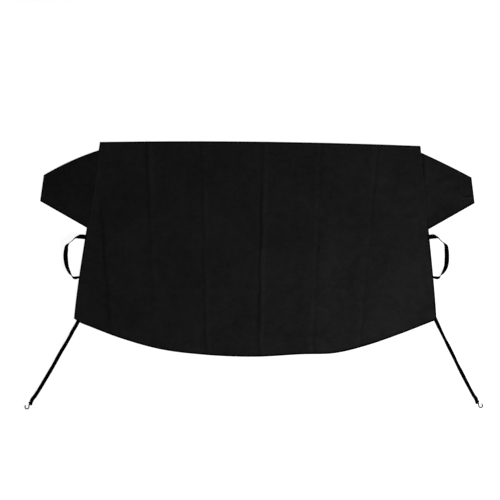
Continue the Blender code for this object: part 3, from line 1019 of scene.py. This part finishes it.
    def stitch_lines(self) -> list[Array]:
        """The hem's rows of stitches, one along each edge, as points on the outer face.

        Returns:
            One array of points for each edge.
        """
        outline, inset = self.outline, self.cloth.stitch_inset
        side_count, roof_count, bonnet_count = self.line_samples
        left_end, right_end = self.bonnet_ends
        lines = []
        for side in Side:
            top, low = outline.ends(side)
            y = np.linspace(top[1] - inset, low[1], side_count)
            lines.append((outline.side_x(side, y) - side.value * inset, y))
        x = np.linspace(outline.top_left[0] + inset, outline.top_right[0] - inset, roof_count)
        lines.append((x, outline.top_y(x) - inset))
        x = np.linspace(
            outline.low_left[0] + left_end * inset, outline.low_right[0] - right_end * inset, bonnet_count
        )
        lines.append((x, outline.bottom_y(x) + inset))
        return [np.column_stack([x, y, self.upper(x, y)]) for x, y in lines]

    def build(self, finish: bpy.types.Material) -> bpy.types.Object:
        """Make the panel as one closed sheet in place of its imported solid.

        Args:
            finish: The cloth's material.

        Returns:
            The panel.
        """
        x, y = self.grid()
        panel = closed_sheet("cover_panel_cloth", x, y, self.rise(x, y), self.upper(x, y), self.rolled_edge_and_shade(x, y))
        panel.data.materials.append(finish)
        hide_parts("cover_panel")
        return panel


@dataclass
class DoorFlap:
    """A door flap: sewn under the panel's side, hemmed on its other three edges."""

    side: Side
    cloth: Cloth
    outline: Outline
    outer_top: Point
    outer_low: Point
    top_bulge: float
    folds: tuple[Fold, ...]
    swell: float
    swell_rise: Point = (0.0006, 0.0025)
    swell_reach: float = 0.085
    swell_fade: float = 0.05
    wave: float = 0.0012
    waves: int = 3
    take_up: float = 0.03
    freed: Point = (0.0004, 0.0020)
    slack: Ripples = Ripples(0.11, 0.0005, 21)
    crumple: Ripples = Ripples(0.04, 0.00013, 22)
    pucker: Ripples = Ripples(0.016, 0.00022, 23)
    pucker_reach: float = 0.010
    out_step: float = 0.0045
    down_step: float = 0.005
    stitch_start: float = 0.003
    line_samples: tuple[int, int] = (200, 100)

    def corners(self) -> tuple[Array, Array, Array, Array]:
        """Its four corners: inner top, inner low, outer top and outer low."""
        lap = self.side.value * self.cloth.lap_depth
        inner_top, inner_low = (
            np.array([self.outline.side_x(self.side, y) - lap, y])
            for y in self.outline.seam_rows[self.side.index]
        )
        return inner_top, inner_low, np.array(self.outer_top), np.array(self.outer_low)

    @property
    def length(self) -> float:
        """The length of its top edge, from under the panel to the outer end."""
        inner_top, _, outer_top, _ = self.corners()
        return float(np.linalg.norm(outer_top - inner_top))

    def flat_size(self) -> tuple[Point, float]:
        """The cloth it is cut from: its length and depth, and its area.

        The area is half its diagonals' cross product and two thirds of the bulge, and what its waves take up.

        Returns:
            The length and depth in metres, and the area in square metres.
        """
        inner_top, inner_low, outer_top, outer_low = self.corners()
        length, depth = self.length, float(np.linalg.norm(inner_top - inner_low))
        (ax, ay), (bx, by) = outer_low - inner_top, outer_top - inner_low
        area = (abs(ax * by - ay * bx) / 2 + 2 / 3 * self.top_bulge * length) * (1 + self.take_up)
        return (round(length, 2), round(depth, 2)), round(float(area), 4)

    def place(self, out: Array, down: Array) -> tuple[Array, Array, Array]:
        """Places on the flap.

        Args:
            out: Share of the way outwards, from 0 to 1.
            down: Share of the way down, from 0 to 1.

        Returns:
            Their x, their y, and the flap's depth from top to bottom there.
        """
        inner_top, inner_low, outer_top, outer_low = self.corners()
        out = out[..., None]
        crown = self.top_bulge * 4 * out * (1 - out) * np.array([0.0, 1.0])
        top = inner_top + out * (outer_top - inner_top) + crown
        low = inner_low + out * (outer_low - inner_low)
        spot = top + down[..., None] * (low - top)
        return spot[..., 0], spot[..., 1], np.linalg.norm(top - low, axis=-1)

    def off_edge(self, out: Array, down: Array) -> Array:
        """Distance to the nearest of the three hemmed edges.

        Args:
            out: Share of the way outwards.
            down: Share of the way down.

        Returns:
            The distance.
        """
        depth = self.place(out, down)[2]
        return np.minimum(np.minimum(down, 1 - down) * depth, self.length - out * self.length)

    def heights(self, out: Array, down: Array) -> tuple[Array, Array]:
        """The flap's underside and outer face: pressed flat under the panel, with slow waves outside it.

        Args:
            out: Share of the way outwards.
            down: Share of the way down.

        Returns:
            The two heights.
        """
        cloth, length = self.cloth, self.length
        x, y, _ = self.place(out, down)
        past = out * length - cloth.lap_depth
        free = np.interp(past, self.freed, (0, 1))
        fade = np.interp(out * length, (cloth.lap_depth + cloth.lap_ramp, length), (1, 0))
        under = self.wave * np.sin(np.pi * self.waves * down) ** 2 * fade
        climb = np.interp(past, (*self.swell_rise, self.swell_reach), (0, 1, 0))
        under = under + self.swell * climb * np.clip(np.minimum(down, 1 - down) / self.swell_fade, 0, 1)
        under = under + np.maximum(self.slack.at(x, y), 0)
        for fold in self.folds:
            under = np.maximum(under, fold.at(x, y))
        edge = self.off_edge(out, down)
        skin = cloth.hem(edge) - cloth.valley(edge) + cloth.edge_rise * cloth.rolled_edge_and_shade(edge)
        gather = self.pucker.at(x, y) * bell(edge - cloth.stitch_inset, self.pucker_reach)
        thickness = cloth.wing_thickness * cloth.edge(np.maximum(edge, 0))
        return under * free, (under + skin + self.crumple.at(x, y) + gather) * free + thickness

    def stitch_lines(self) -> list[Array]:
        """The hem's rows of stitches along the top, the outer end and the bottom.

        Returns:
            One array of points for each edge.
        """
        inset, end = self.cloth.stitch_inset, 1 - self.cloth.stitch_inset / self.length
        out_count, down_count = self.line_samples
        out = np.linspace((self.cloth.lap_depth + self.stitch_start) / self.length, end, out_count)
        depth = self.place(out, 0 * out)[2]
        down = np.linspace(inset / depth[-1], 1 - inset / depth[-1], down_count)
        lines = []
        for o, d in ((out, inset / depth), (out, 1 - inset / depth), (0 * down + end, down)):
            x, y, _ = self.place(o, d)
            lines.append(np.column_stack([x, y, self.heights(o, d)[1]]))
        return lines

    def build(self, finish: bpy.types.Material) -> bpy.types.Object:
        """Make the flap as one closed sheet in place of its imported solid.

        Args:
            finish: The cloth's material.

        Returns:
            The flap.
        """
        margins, length = self.cloth.margins, self.length
        reach = spread(length, margins, self.out_step) / length
        depth = self.place(reach, 0 * reach)[2]
        down = spread(depth, margins, self.down_step) / depth
        out = np.broadcast_to(reach, down.shape)
        x, y, _ = self.place(out, down)
        rolled_edge_and_shade = self.cloth.rolled_edge_and_shade(self.off_edge(out, down))
        grids = (g[:, :: self.side.value] for g in (x, y, *self.heights(out, down), rolled_edge_and_shade))
        flap = closed_sheet(f"{self.side.word}_wing_cloth", *grids)
        flap.data.materials.append(finish)
        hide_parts(f"{self.side.word}_wing")
        return flap


def smooth_route(points: Array, step: float) -> Array:
    """Points on one smooth curve through a route's points, evenly spaced.

    Args:
        points: One row for each point, its first two numbers its place.
        step: The spacing.

    Returns:
        The new rows.
    """
    along = distance_along(points[:, :2])
    at = np.linspace(0, along[-1], int(np.ceil(along[-1] / step)) + 1)
    return np.stack([through_points(along, column, at) for column in points.T], -1)


def headings(line: Array) -> Array:
    """The level unit direction of travel at each point of a line."""
    run = np.gradient(line[:, :2], axis=0)
    run = run / np.linalg.norm(run, axis=1, keepdims=True)
    return np.column_stack([run, np.zeros(len(run))])


def leaning(sideways: Array, degrees: Array) -> tuple[Array, Array]:
    """How a band stands that leans on its edge.

    Across it runs the cosine of its lean sideways and the sine upwards, and its face looks the cosine
    upwards and the sine back.

    Args:
        sideways: Level unit vectors beside the path.
        degrees: The lean at each point, kept between 0 and 90.

    Returns:
        Unit vectors across the band and out of its face.
    """
    lean = np.radians(np.clip(degrees, 0, 90))[:, None]
    return np.cos(lean) * sideways + np.sin(lean) * UP, np.cos(lean) * UP - np.sin(lean) * sideways


@dataclass(frozen=True)
class Stitching:
    """Rows of sewing thread: each stitch is a short tube that rises from the cloth and dips back into it."""

    pitch: float = 0.0036
    length: float = 0.0029
    radius: float = 0.00028
    proud: float = 0.00022
    end_share: float = 0.6
    rings: int = 5
    sides: int = 6

    def stitches(self, line: Array) -> tuple[Array, Array]:
        """Both ends of each stitch along a line.

        Args:
            line: Points of the row, close together.

        Returns:
            The stitches' starts and ends.
        """
        along = distance_along(line)
        starts = np.arange(0, along[-1] - self.length, self.pitch)
        start, end = (
            np.stack([np.interp(at, along, column) for column in line.T], -1)
            for at in (starts, starts + self.length)
        )
        return start, end

    def build(self, name: str, lines: list[Array], finish: bpy.types.Material) -> bpy.types.Object:
        """Make every stitch of some rows as one piece.

        A stitch's middle line goes straight from start to end and rises by half a sine wave, and its
        radius follows the same wave, from its end share to full.

        Args:
            name: The object's name.
            lines: The rows.
            finish: The thread's material.

        Returns:
            The stitching.
        """
        pairs = [self.stitches(line) for line in lines]
        start, end = (np.concatenate([pair[k] for pair in pairs]) for k in (0, 1))
        t = np.linspace(0, 1, self.rings)
        arch = np.sin(np.pi * t)
        middle = start[:, None] + (end - start)[:, None] * t[None, :, None]
        middle = middle + ((self.proud + self.radius) * arch - self.radius)[None, :, None] * UP
        run = (end - start) / np.linalg.norm(end - start, axis=1, keepdims=True)
        thick = self.radius * (self.end_share + (1 - self.end_share) * arch)
        thread = dressed(name, *tubes(middle, run[:, None], thick, self.sides))
        thread.data.materials.append(finish)
        return thread


@dataclass
class MirrorLoop:
    """A loop of webbing for a door mirror: flat at the panel, turned on its edge, and leaning out between."""

    side: Side
    cloth: Cloth
    outline: Outline
    route: tuple[Triple, ...]
    start_y: float = 0.0425
    width: float = 0.020
    thickness: float = 0.0012
    folded_width: float = 0.0095
    unfold_length: float = 0.045
    cup: float = 0.0003
    seat: float = 0.0001
    step: float = 0.0016

    def build(self, finish: bpy.types.Material) -> bpy.types.Object:
        """Make the loop as a band along its route, which is the edge that rests on the floor.

        Args:
            finish: The webbing's material.

        Returns:
            The loop.
        """
        sign, lap, end_y = self.side.value, self.cloth.lap_depth, self.route[-1][1]
        start_x, end_x = (float(self.outline.side_x(self.side, self.start_y + y)) for y in (0, end_y))
        inner_end = abs(end_x) - abs(start_x) - lap
        line = smooth_route(np.array([(-lap, 0, 0), *self.route, (inner_end, end_y, 0)], float), self.step)
        level = np.full(len(line), self.seat)
        low = np.column_stack([start_x + sign * line[:, 0], self.start_y + line[:, 1], level])
        across, normal = leaning(np.cross(headings(low), UP) * -sign, line[:, 2])
        to_end = distance_along(low[::-1])[::-1]
        width = np.interp(to_end, (lap, lap + self.unfold_length), (self.folded_width, self.width))
        centre = low + across * width[:, None] / 2 + normal * self.thickness / 2
        name = f"{self.side.word}_mirror_webbing"
        loop = band(name, centre, across, normal, width, self.thickness, self.cup)
        loop.data.materials.append(finish)
        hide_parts(f"{self.side.word}_mirror_loop")
        length = float(distance_along(centre)[-1])
        centre[::4].tolist() + [centre[-1].tolist()]
        return loop


@dataclass
class CornerStrap:
    """An elastic strap from a lower corner to its wire hook, folded back round the hook's bar."""

    side: Side
    cloth: Cloth
    outline: Outline
    route: tuple[Triple, ...]
    aside: float
    width: float = 0.0165
    thickness: float = 0.0013
    inset: float = 0.028
    fold_width: float = 0.0100
    fold_narrowing: float = 0.014
    tail_length: float = 0.0105
    tail_width: float = 0.0165
    tail_flare: float = 0.0034
    tail_lands: float = 0.0068
    tail_shift: float = 0.0032
    wire_radius: float = 0.0026
    step: float = 0.0018
    turn_steps: int = 16
    tail_steps: int = 14
    tacks: tuple[float, ...] = (0.0074, 0.0082, 0.0090, 0.0098)
    tack_share: float = 0.82
    tack_samples: int = 9
    tacking: Stitching = Stitching(pitch=0.0017, length=0.0014, radius=0.0002, proud=0.00012)

    def floor_line(self) -> Array:
        """The strap's run on the floor, from under the panel's corner to the bar: x, y and lean.

        Returns:
            One row for each point.
        """
        corner = self.outline.cut_corner(self.side)
        spots = [(corner[0] + self.side.value * out, corner[1] + y, lean) for out, y, lean in self.route]
        leaves = corner - np.array([self.side.value * self.aside, 0])
        back = leaves - np.array(spots[0][:2])
        inside = leaves + back / np.linalg.norm(back) * self.inset
        return smooth_route(np.array([(*inside, 0), (*leaves, 0), *spots], float), self.step)

    def laid(self) -> tuple[Array, Array, Array, Array]:
        """The strap's run on the floor as a band that is narrower at the fold.

        Returns:
            The middle, the directions across and out of the face, and the width, at each step.
        """
        line = self.floor_line()
        across, normal = leaning(np.cross(headings(line), UP), line[:, 2])
        to_bar = distance_along(line[::-1, :2])[::-1]
        width = np.interp(to_bar, (0, self.fold_narrowing), (self.fold_width, self.width))
        level = self.thickness / 2 * normal[:, 2] + width / 2 * across[:, 2]
        return np.column_stack([line[:, :2], level]), across, normal, width

    def folded(self, spot: Array, ahead: Array, sideways: Array) -> tuple[Array, Array, Array, Array]:
        """The end of the strap: half a circle round the bar, and the tail that comes down onto the strap.

        Args:
            spot: The bar's x and y.
            ahead: The strap's direction at the bar.
            sideways: The direction across it.

        Returns:
            The middle, the directions across and out of the face, and the width, at each step.
        """
        gap = self.cloth.clearance
        bar = np.array([*spot, self.bar_level])
        turn = self.wire_radius + gap + self.thickness / 2
        angle = np.linspace(-np.pi / 2, np.pi / 2, self.turn_steps + 1)[1:, None]
        spoke = np.cos(angle) * ahead + np.sin(angle) * UP
        back = np.linspace(0, self.tail_length, self.tail_steps + 1)[1:, None]
        landing = self.thickness + gap + self.thickness / 2
        drop = np.interp(back, (self.tail_flare, self.tail_lands), (bar[2] + turn, landing))
        shift = np.interp(back, (0, self.tail_lands), (0, self.tail_shift))
        tail = bar * (1, 1, 0) - back * ahead + drop * UP - self.side.value * shift * sideways
        slope = np.gradient(np.concatenate([(bar + turn * spoke)[-1:], tail]), axis=0)[1:]
        slope = slope / np.linalg.norm(slope, axis=1, keepdims=True)
        tail_normal = np.cross(sideways, slope)
        tail_normal = tail_normal / np.linalg.norm(tail_normal, axis=1, keepdims=True)
        tail_width = np.interp(back[:, 0], (0, self.tail_flare), (self.fold_width, self.tail_width))
        centre = np.concatenate([bar + turn * spoke, tail])
        across = np.broadcast_to(sideways, centre.shape)
        width = np.concatenate([np.full(len(spoke), self.fold_width), tail_width])
        return centre, across, np.concatenate([-spoke, tail_normal]), width

    def tack_rows(self, tail: Array, sideways: Array) -> list[Array]:
        """The rows of stitches across the tail.

        Args:
            tail: The tail's middle line.
            sideways: The direction across it.

        Returns:
            One array of points for each row.
        """
        back = np.linspace(0, self.tail_length, self.tail_steps + 1)[1:]
        reach = self.tail_width / 2 * self.tack_share
        span = np.linspace(-reach, reach, self.tack_samples)[:, None] * sideways + UP * self.thickness / 2
        return [np.array([np.interp(spot, back, column) for column in tail.T]) + span for spot in self.tacks]

    @property
    def bar_level(self) -> float:
        """The height of the hook's bar, over the elastic that passes under it."""
        return self.thickness + self.cloth.clearance + self.wire_radius

    def build(self, finish: bpy.types.Material, thread: bpy.types.Material,
              hook: bpy.types.Object) -> list[bpy.types.Object]:
        """Make the strap as one band, its run and its folded end, and the stitches that hold the fold.

        Args:
            finish: The elastic's material.
            thread: The stitches' material.
            hook: The hook at its end; not used.

        Returns:
            The strap and its stitches.
        """
        floor, across, normal, width = self.laid()
        ahead = headings(floor)[-1]
        sideways = np.cross(ahead, UP)
        folded = self.folded(floor[-1, :2], ahead, sideways)
        rows = self.tack_rows(folded[0][-self.tail_steps:], sideways)
        sewn = self.tacking.build(f"{self.side.word}_strap_stitching", rows, thread)
        whole = [np.concatenate(pair) for pair in zip((floor, across, normal, width), folded)]
        strap = band(f"{self.side.word}_elastic", *whole, self.thickness)
        strap.data.materials.append(finish)
        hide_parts(f"{self.side.word}_strap")
        length = float(distance_along(floor)[-1])
        floor[::4].tolist() + [floor[-1].tolist()]
        return [strap, sewn]


@dataclass
class WireHook:
    """An open hook of bent wire: a bar through the strap's fold, a bend, a shank and most of a ring."""

    strap: CornerStrap
    sweep: float
    ring_radius: float = 0.0084
    shank: float = 0.0122
    bend_spare: float = 0.0005
    bar_spare: float = 0.0006
    end_round: float = 0.0009
    end_rings: tuple[float, ...] = (0, 0.02, 0.08, 0.18, 0.33, 0.55, 0.8)
    step: float = 0.0006
    sides: int = 24
    # Points of the middle line on the bar, the bend, the shank and the ring
    counts: tuple[int, int, int, int] = (25, 11, 17, 97)

    def route(self) -> Array:
        """The wire's middle line: straight, a quarter turn, straight, and an arc as far as the ring goes.

        From the bar's level it comes down to the floor along the shank, by a smooth step.

        Returns:
            One row for each point.
        """
        strap = self.strap
        line = strap.floor_line()
        ahead = headings(line)[-1]
        outer = np.cross(ahead, UP) * -strap.side.value
        beside = strap.fold_width / 2 + strap.cloth.clearance + strap.wire_radius
        bend = strap.wire_radius + self.bend_spare
        bar_count, bend_count, shank_count, ring_count = self.counts
        bar = np.linspace(-strap.fold_width / 2 - self.bar_spare, beside - bend, bar_count)
        quarter = np.linspace(0, np.pi / 2, bend_count)[1:]
        shank = np.linspace(bend, self.shank, shank_count)[1:]
        arc = np.linspace(0, np.radians(self.sweep), ring_count)[1:]
        out = np.concatenate([
            bar, beside - bend + bend * np.sin(quarter), 0 * shank + beside,
            beside + self.ring_radius * (1 - np.cos(arc)),
        ])
        forth = np.concatenate([
            0 * bar, bend * (1 - np.cos(quarter)), shank, self.shank + self.ring_radius * np.sin(arc),
        ])
        fall = smooth_step((forth - bend) / (self.shank - bend))
        level = strap.bar_level + (strap.wire_radius - strap.bar_level) * fall
        flat = line[-1, :2] + out[:, None] * outer[:2] + forth[:, None] * ahead[:2]
        return np.column_stack([flat, level])

    def build(self, finish: bpy.types.Material) -> bpy.types.Object:
        """Make the wire as one tube with rounded ends, whose radius there follows a quarter circle.

        Args:
            finish: The wire's material.

        Returns:
            The hook.
        """
        route, radius = self.route(), self.strap.wire_radius
        along = distance_along(route)
        length = along[-1]
        near = self.end_round * np.array(self.end_rings)
        inner = np.arange(self.end_round, length - self.end_round, self.step)
        at = np.concatenate([near, inner, length - near[::-1]])
        middle = np.stack([np.interp(at, along, column) for column in route.T], -1)
        run = np.gradient(middle, at, axis=0)
        run = run / np.linalg.norm(run, axis=1, keepdims=True)
        short = np.clip(1 - np.minimum(at, length - at) / self.end_round, 0, 1)
        thick = radius - self.end_round * (1 - np.sqrt(1 - short**2))
        points, faces = tubes(middle[None], run[None], thick, self.sides)
        hook = dressed(f"{self.strap.side.word}_wire_hook", points, faces)
        hook.data.materials.append(finish)
        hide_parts(f"{self.strap.side.word}_hook")
        return hook


# The room round it


@dataclass
class Studio:
    """A pale floor, soft light that is stronger from the right, and a camera straight above."""

    view_centre: Point = (-0.0316, -0.0039)
    view_width: float = 2.15
    lens: float = 200.0
    lamp_place: Triple = (2.0, -1.7, 1.7)
    lamp_size: float = 1.3
    lamp_power: float = 128.0
    sky: float = 0.232
    floor_reach: float = 30.0
    floor_drop: float = 0.0006
    floor_pale: float = 0.9
    floor_bounce: float = 0.2
    floor_glow: float = 0.91

    def floor(self) -> bpy.types.Object:
        """The floor: plain and pale in its light on the cover, and white to the camera and to mirrors.

        Returns:
            The floor.
        """
        corners = np.array([(-1, -1, 0), (1, -1, 0), (1, 1, 0), (-1, 1, 0)], float) * self.floor_reach
        corners[:, 2] = -self.floor_drop
        mesh = bpy.data.meshes.new("studio_floor")
        mesh.from_pydata(corners.tolist(), [], [(0, 1, 2, 3)])
        plane = bpy.data.objects.new("studio_floor", mesh)
        bpy.context.collection.objects.link(plane)
        graph = Graph(bpy.data.materials.new("studio_floor"))
        shown = graph.shown()
        mesh.materials.append(graph.surface({
            "Base Color": graph.blend(shown, (self.floor_pale,) * 3, (self.floor_bounce,) * 3),
            "Roughness": 0.9,
            "Specular IOR Level": 0.1,
            "Emission Color": graph.blend(shown, (0,) * 3, (self.floor_glow,) * 3),
            "Emission Strength": 1.0,
        }))
        return plane

    def light(self) -> None:
        """One large lamp low on the right, aimed at the cover, and an even sky, white to the camera."""
        lamp = bpy.data.lights.new("right_lamp", "AREA")
        lamp.shape, lamp.size, lamp.energy = "DISK", self.lamp_size, self.lamp_power
        holder = bpy.data.objects.new("right_lamp", lamp)
        holder.location = self.lamp_place
        holder.rotation_euler = (-Vector(self.lamp_place)).to_track_quat("-Z", "Y").to_euler()
        bpy.context.collection.objects.link(holder)
        world = bpy.data.worlds.new("studio_sky")
        graph = Graph(world)
        strength = self.sky + graph.shown() * (1 - self.sky)
        sky = graph.node("ShaderNodeBackground", {}, {"Color": (1, 1, 1, 1), "Strength": strength})
        graph.node("ShaderNodeOutputWorld", {}, {"Surface": sky["Background"]})
        bpy.context.scene.world = world

    def camera(self) -> None:
        """A long lens straight above the middle of the photographed view."""
        data = bpy.data.cameras.new("camera")
        data.lens = self.lens
        height = self.view_width / data.sensor_width * data.lens
        data.clip_end = 4 * height
        holder = bpy.data.objects.new("camera", data)
        holder.location = (*self.view_centre, height)
        bpy.context.collection.objects.link(holder)
        bpy.context.scene.camera = holder


# Routes, from where a loop or strap comes out: metres outwards, metres along Y, and degrees of lean
LEFT_LOOP = (
    (0.0000, 0.0000, 0), (0.0140, 0.0012, 6), (0.0270, 0.0024, 30), (0.0385, 0.0040, 70),
    (0.0560, -0.0082, 84), (0.0680, -0.0190, 80), (0.0712, -0.0270, 56), (0.0723, -0.0480, 26),
    (0.0734, -0.0697, 14), (0.0722, -0.0910, 18), (0.0701, -0.1127, 36), (0.0640, -0.1342, 52),
    (0.0585, -0.1490, 68), (0.0545, -0.1590, 82), (0.0485, -0.1606, 48), (0.0400, -0.1600, 14),
    (0.0310, -0.1588, 0), (0.0270, -0.1585, 0),
)
RIGHT_LOOP = (
    (0.0000, 0.0000, 0), (0.0150, 0.0017, 6), (0.0260, 0.0030, 34), (0.0350, 0.0044, 70),
    (0.0490, -0.0078, 84), (0.0604, -0.0180, 78), (0.0634, -0.0270, 50), (0.0645, -0.0480, 26),
    (0.0649, -0.0697, 15), (0.0643, -0.0910, 14), (0.0628, -0.1127, 30), (0.0562, -0.1342, 50),
    (0.0502, -0.1480, 68), (0.0455, -0.1580, 82), (0.0395, -0.1604, 48), (0.0305, -0.1600, 14),
    (0.0180, -0.1588, 0), (0.0130, -0.1585, 0),
)
LEFT_STRAP = (
    (0.0072, -0.0229, 2), (0.0174, -0.0396, 2), (0.0308, -0.0659, 18), (0.0426, -0.0872, 25),
    (0.0556, -0.1089, 4), (0.0646, -0.1235, 0), (0.0808, -0.1519, 2), (0.1017, -0.1906, 16),
    (0.1220, -0.2250, 0), (0.1424, -0.2594, 3), (0.1628, -0.2938, 15), (0.1848, -0.3270, 3),
    (0.1944, -0.3395, 0), (0.1980, -0.3500, 0), (0.1990, -0.3593, 0),
)
RIGHT_STRAP = (
    (0.0128, -0.0278, 6), (0.0230, -0.0493, 28), (0.0333, -0.0708, 34), (0.0441, -0.0925, 35),
    (0.0550, -0.1138, 15), (0.0768, -0.1568, 19), (0.0950, -0.1955, 28), (0.1128, -0.2299, 3),
    (0.1303, -0.2643, 16), (0.1484, -0.2987, 25), (0.1672, -0.3320, 14), (0.1744, -0.3420, 4),
    (0.1772, -0.3515, 0), (0.1780, -0.3612, 0),
)


def door_flaps(cloth: Cloth, outline: Outline) -> tuple[DoorFlap, DoorFlap]:
    """Both door flaps, each with its own soft folds.

    Args:
        cloth: The cloth's sizes.
        outline: The panel's outline.

    Returns:
        The left and the right flap.
    """
    left = DoorFlap(
        Side.LEFT, cloth, outline,
        outer_top=(-0.9183, 0.3186),
        outer_low=(-0.9342, 0.2062),
        top_bulge=0.009,
        folds=(Fold((-0.75, 0.30), (-0.90, 0.27), 0.0015, 0.014),),
        swell=0.0024,
    )
    right = DoorFlap(
        Side.RIGHT, cloth, outline,
        outer_top=(0.9208, 0.3079),
        outer_low=(0.9342, 0.1972),
        top_bulge=0.003,
        folds=(
            Fold((0.7190, 0.430), (0.726, 0.270), 0.0080, 0.0120),
            Fold((0.680, 0.050), (0.905, 0.176), 0.0100, 0.048),
            Fold((0.872, 0.2220), (0.940, 0.2220), 0.0040, 0.0044),
            Fold((0.780, 0.290), (0.860, 0.300), 0.0045, 0.020),
        ),
        swell=0.0012,
    )
    return left, right


def main() -> None:
    """Build the studio and every piece of the cover in order, and report each."""
    logging.basicConfig(level=logging.INFO, format="%(message)s")
    log = logging.getLogger("frost_cover")
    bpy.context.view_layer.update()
    studio = Studio()
    studio.camera()
    studio.light()
    studio.floor()

    cloth, outline = Cloth(), Outline()
    shell = ShellCloth(name="panel_cloth", middle=0.52).material()
    # The flaps' copy of the panel's cloth is darker: painted shade for flaps that lie in less light than the
    # panel
    flap_shell_painted_shade = ShellCloth(name="flap_cloth_painted_shade", middle=0.46).material()
    thread, wire = Thread().material(), PlatedWire().material()
    webbing = Webbing(
        name="black_webbing", light=(0.0012,) * 3, rib_pitch=0.0018, band=0.005, ribs_lengthwise=False
    ).material()
    elastic = Webbing(
        name="black_elastic", light=(0.0010,) * 3, rib_pitch=0.0011, band=0.0013, ribs_lengthwise=True
    ).material()

    panel = CoverPanel(cloth, outline)
    pieces = [panel.build(shell)]
    sewn = Stitching().build("panel_stitching", panel.stitch_lines(), thread)
    pieces.append(sewn)
    for flap in door_flaps(cloth, outline):
        made = flap.build(flap_shell_painted_shade)
        sewn = Stitching().build(f"{flap.side.word}_wing_stitching", flap.stitch_lines(), thread)
        flat, area = flap.flat_size()
        pieces += [made, sewn]
    for side, loop, route, aside, sweep in (
        (Side.LEFT, LEFT_LOOP, LEFT_STRAP, 0.005, 226),
        (Side.RIGHT, RIGHT_LOOP, RIGHT_STRAP, 0.0, 242),
    ):
        pieces.append(MirrorLoop(side, cloth, outline, loop).build(webbing))
        strap = CornerStrap(side, cloth, outline, route, aside)
        hook = WireHook(strap, sweep).build(wire)
        pieces += [*strap.build(elastic, thread, hook), hook]
    for piece in pieces:
        log.info("%s: %d faces", piece.name, len(piece.data.polygons))

    scene = bpy.context.scene
    scene.view_settings.view_transform = "Standard"


if __name__ == "__main__":
    main()
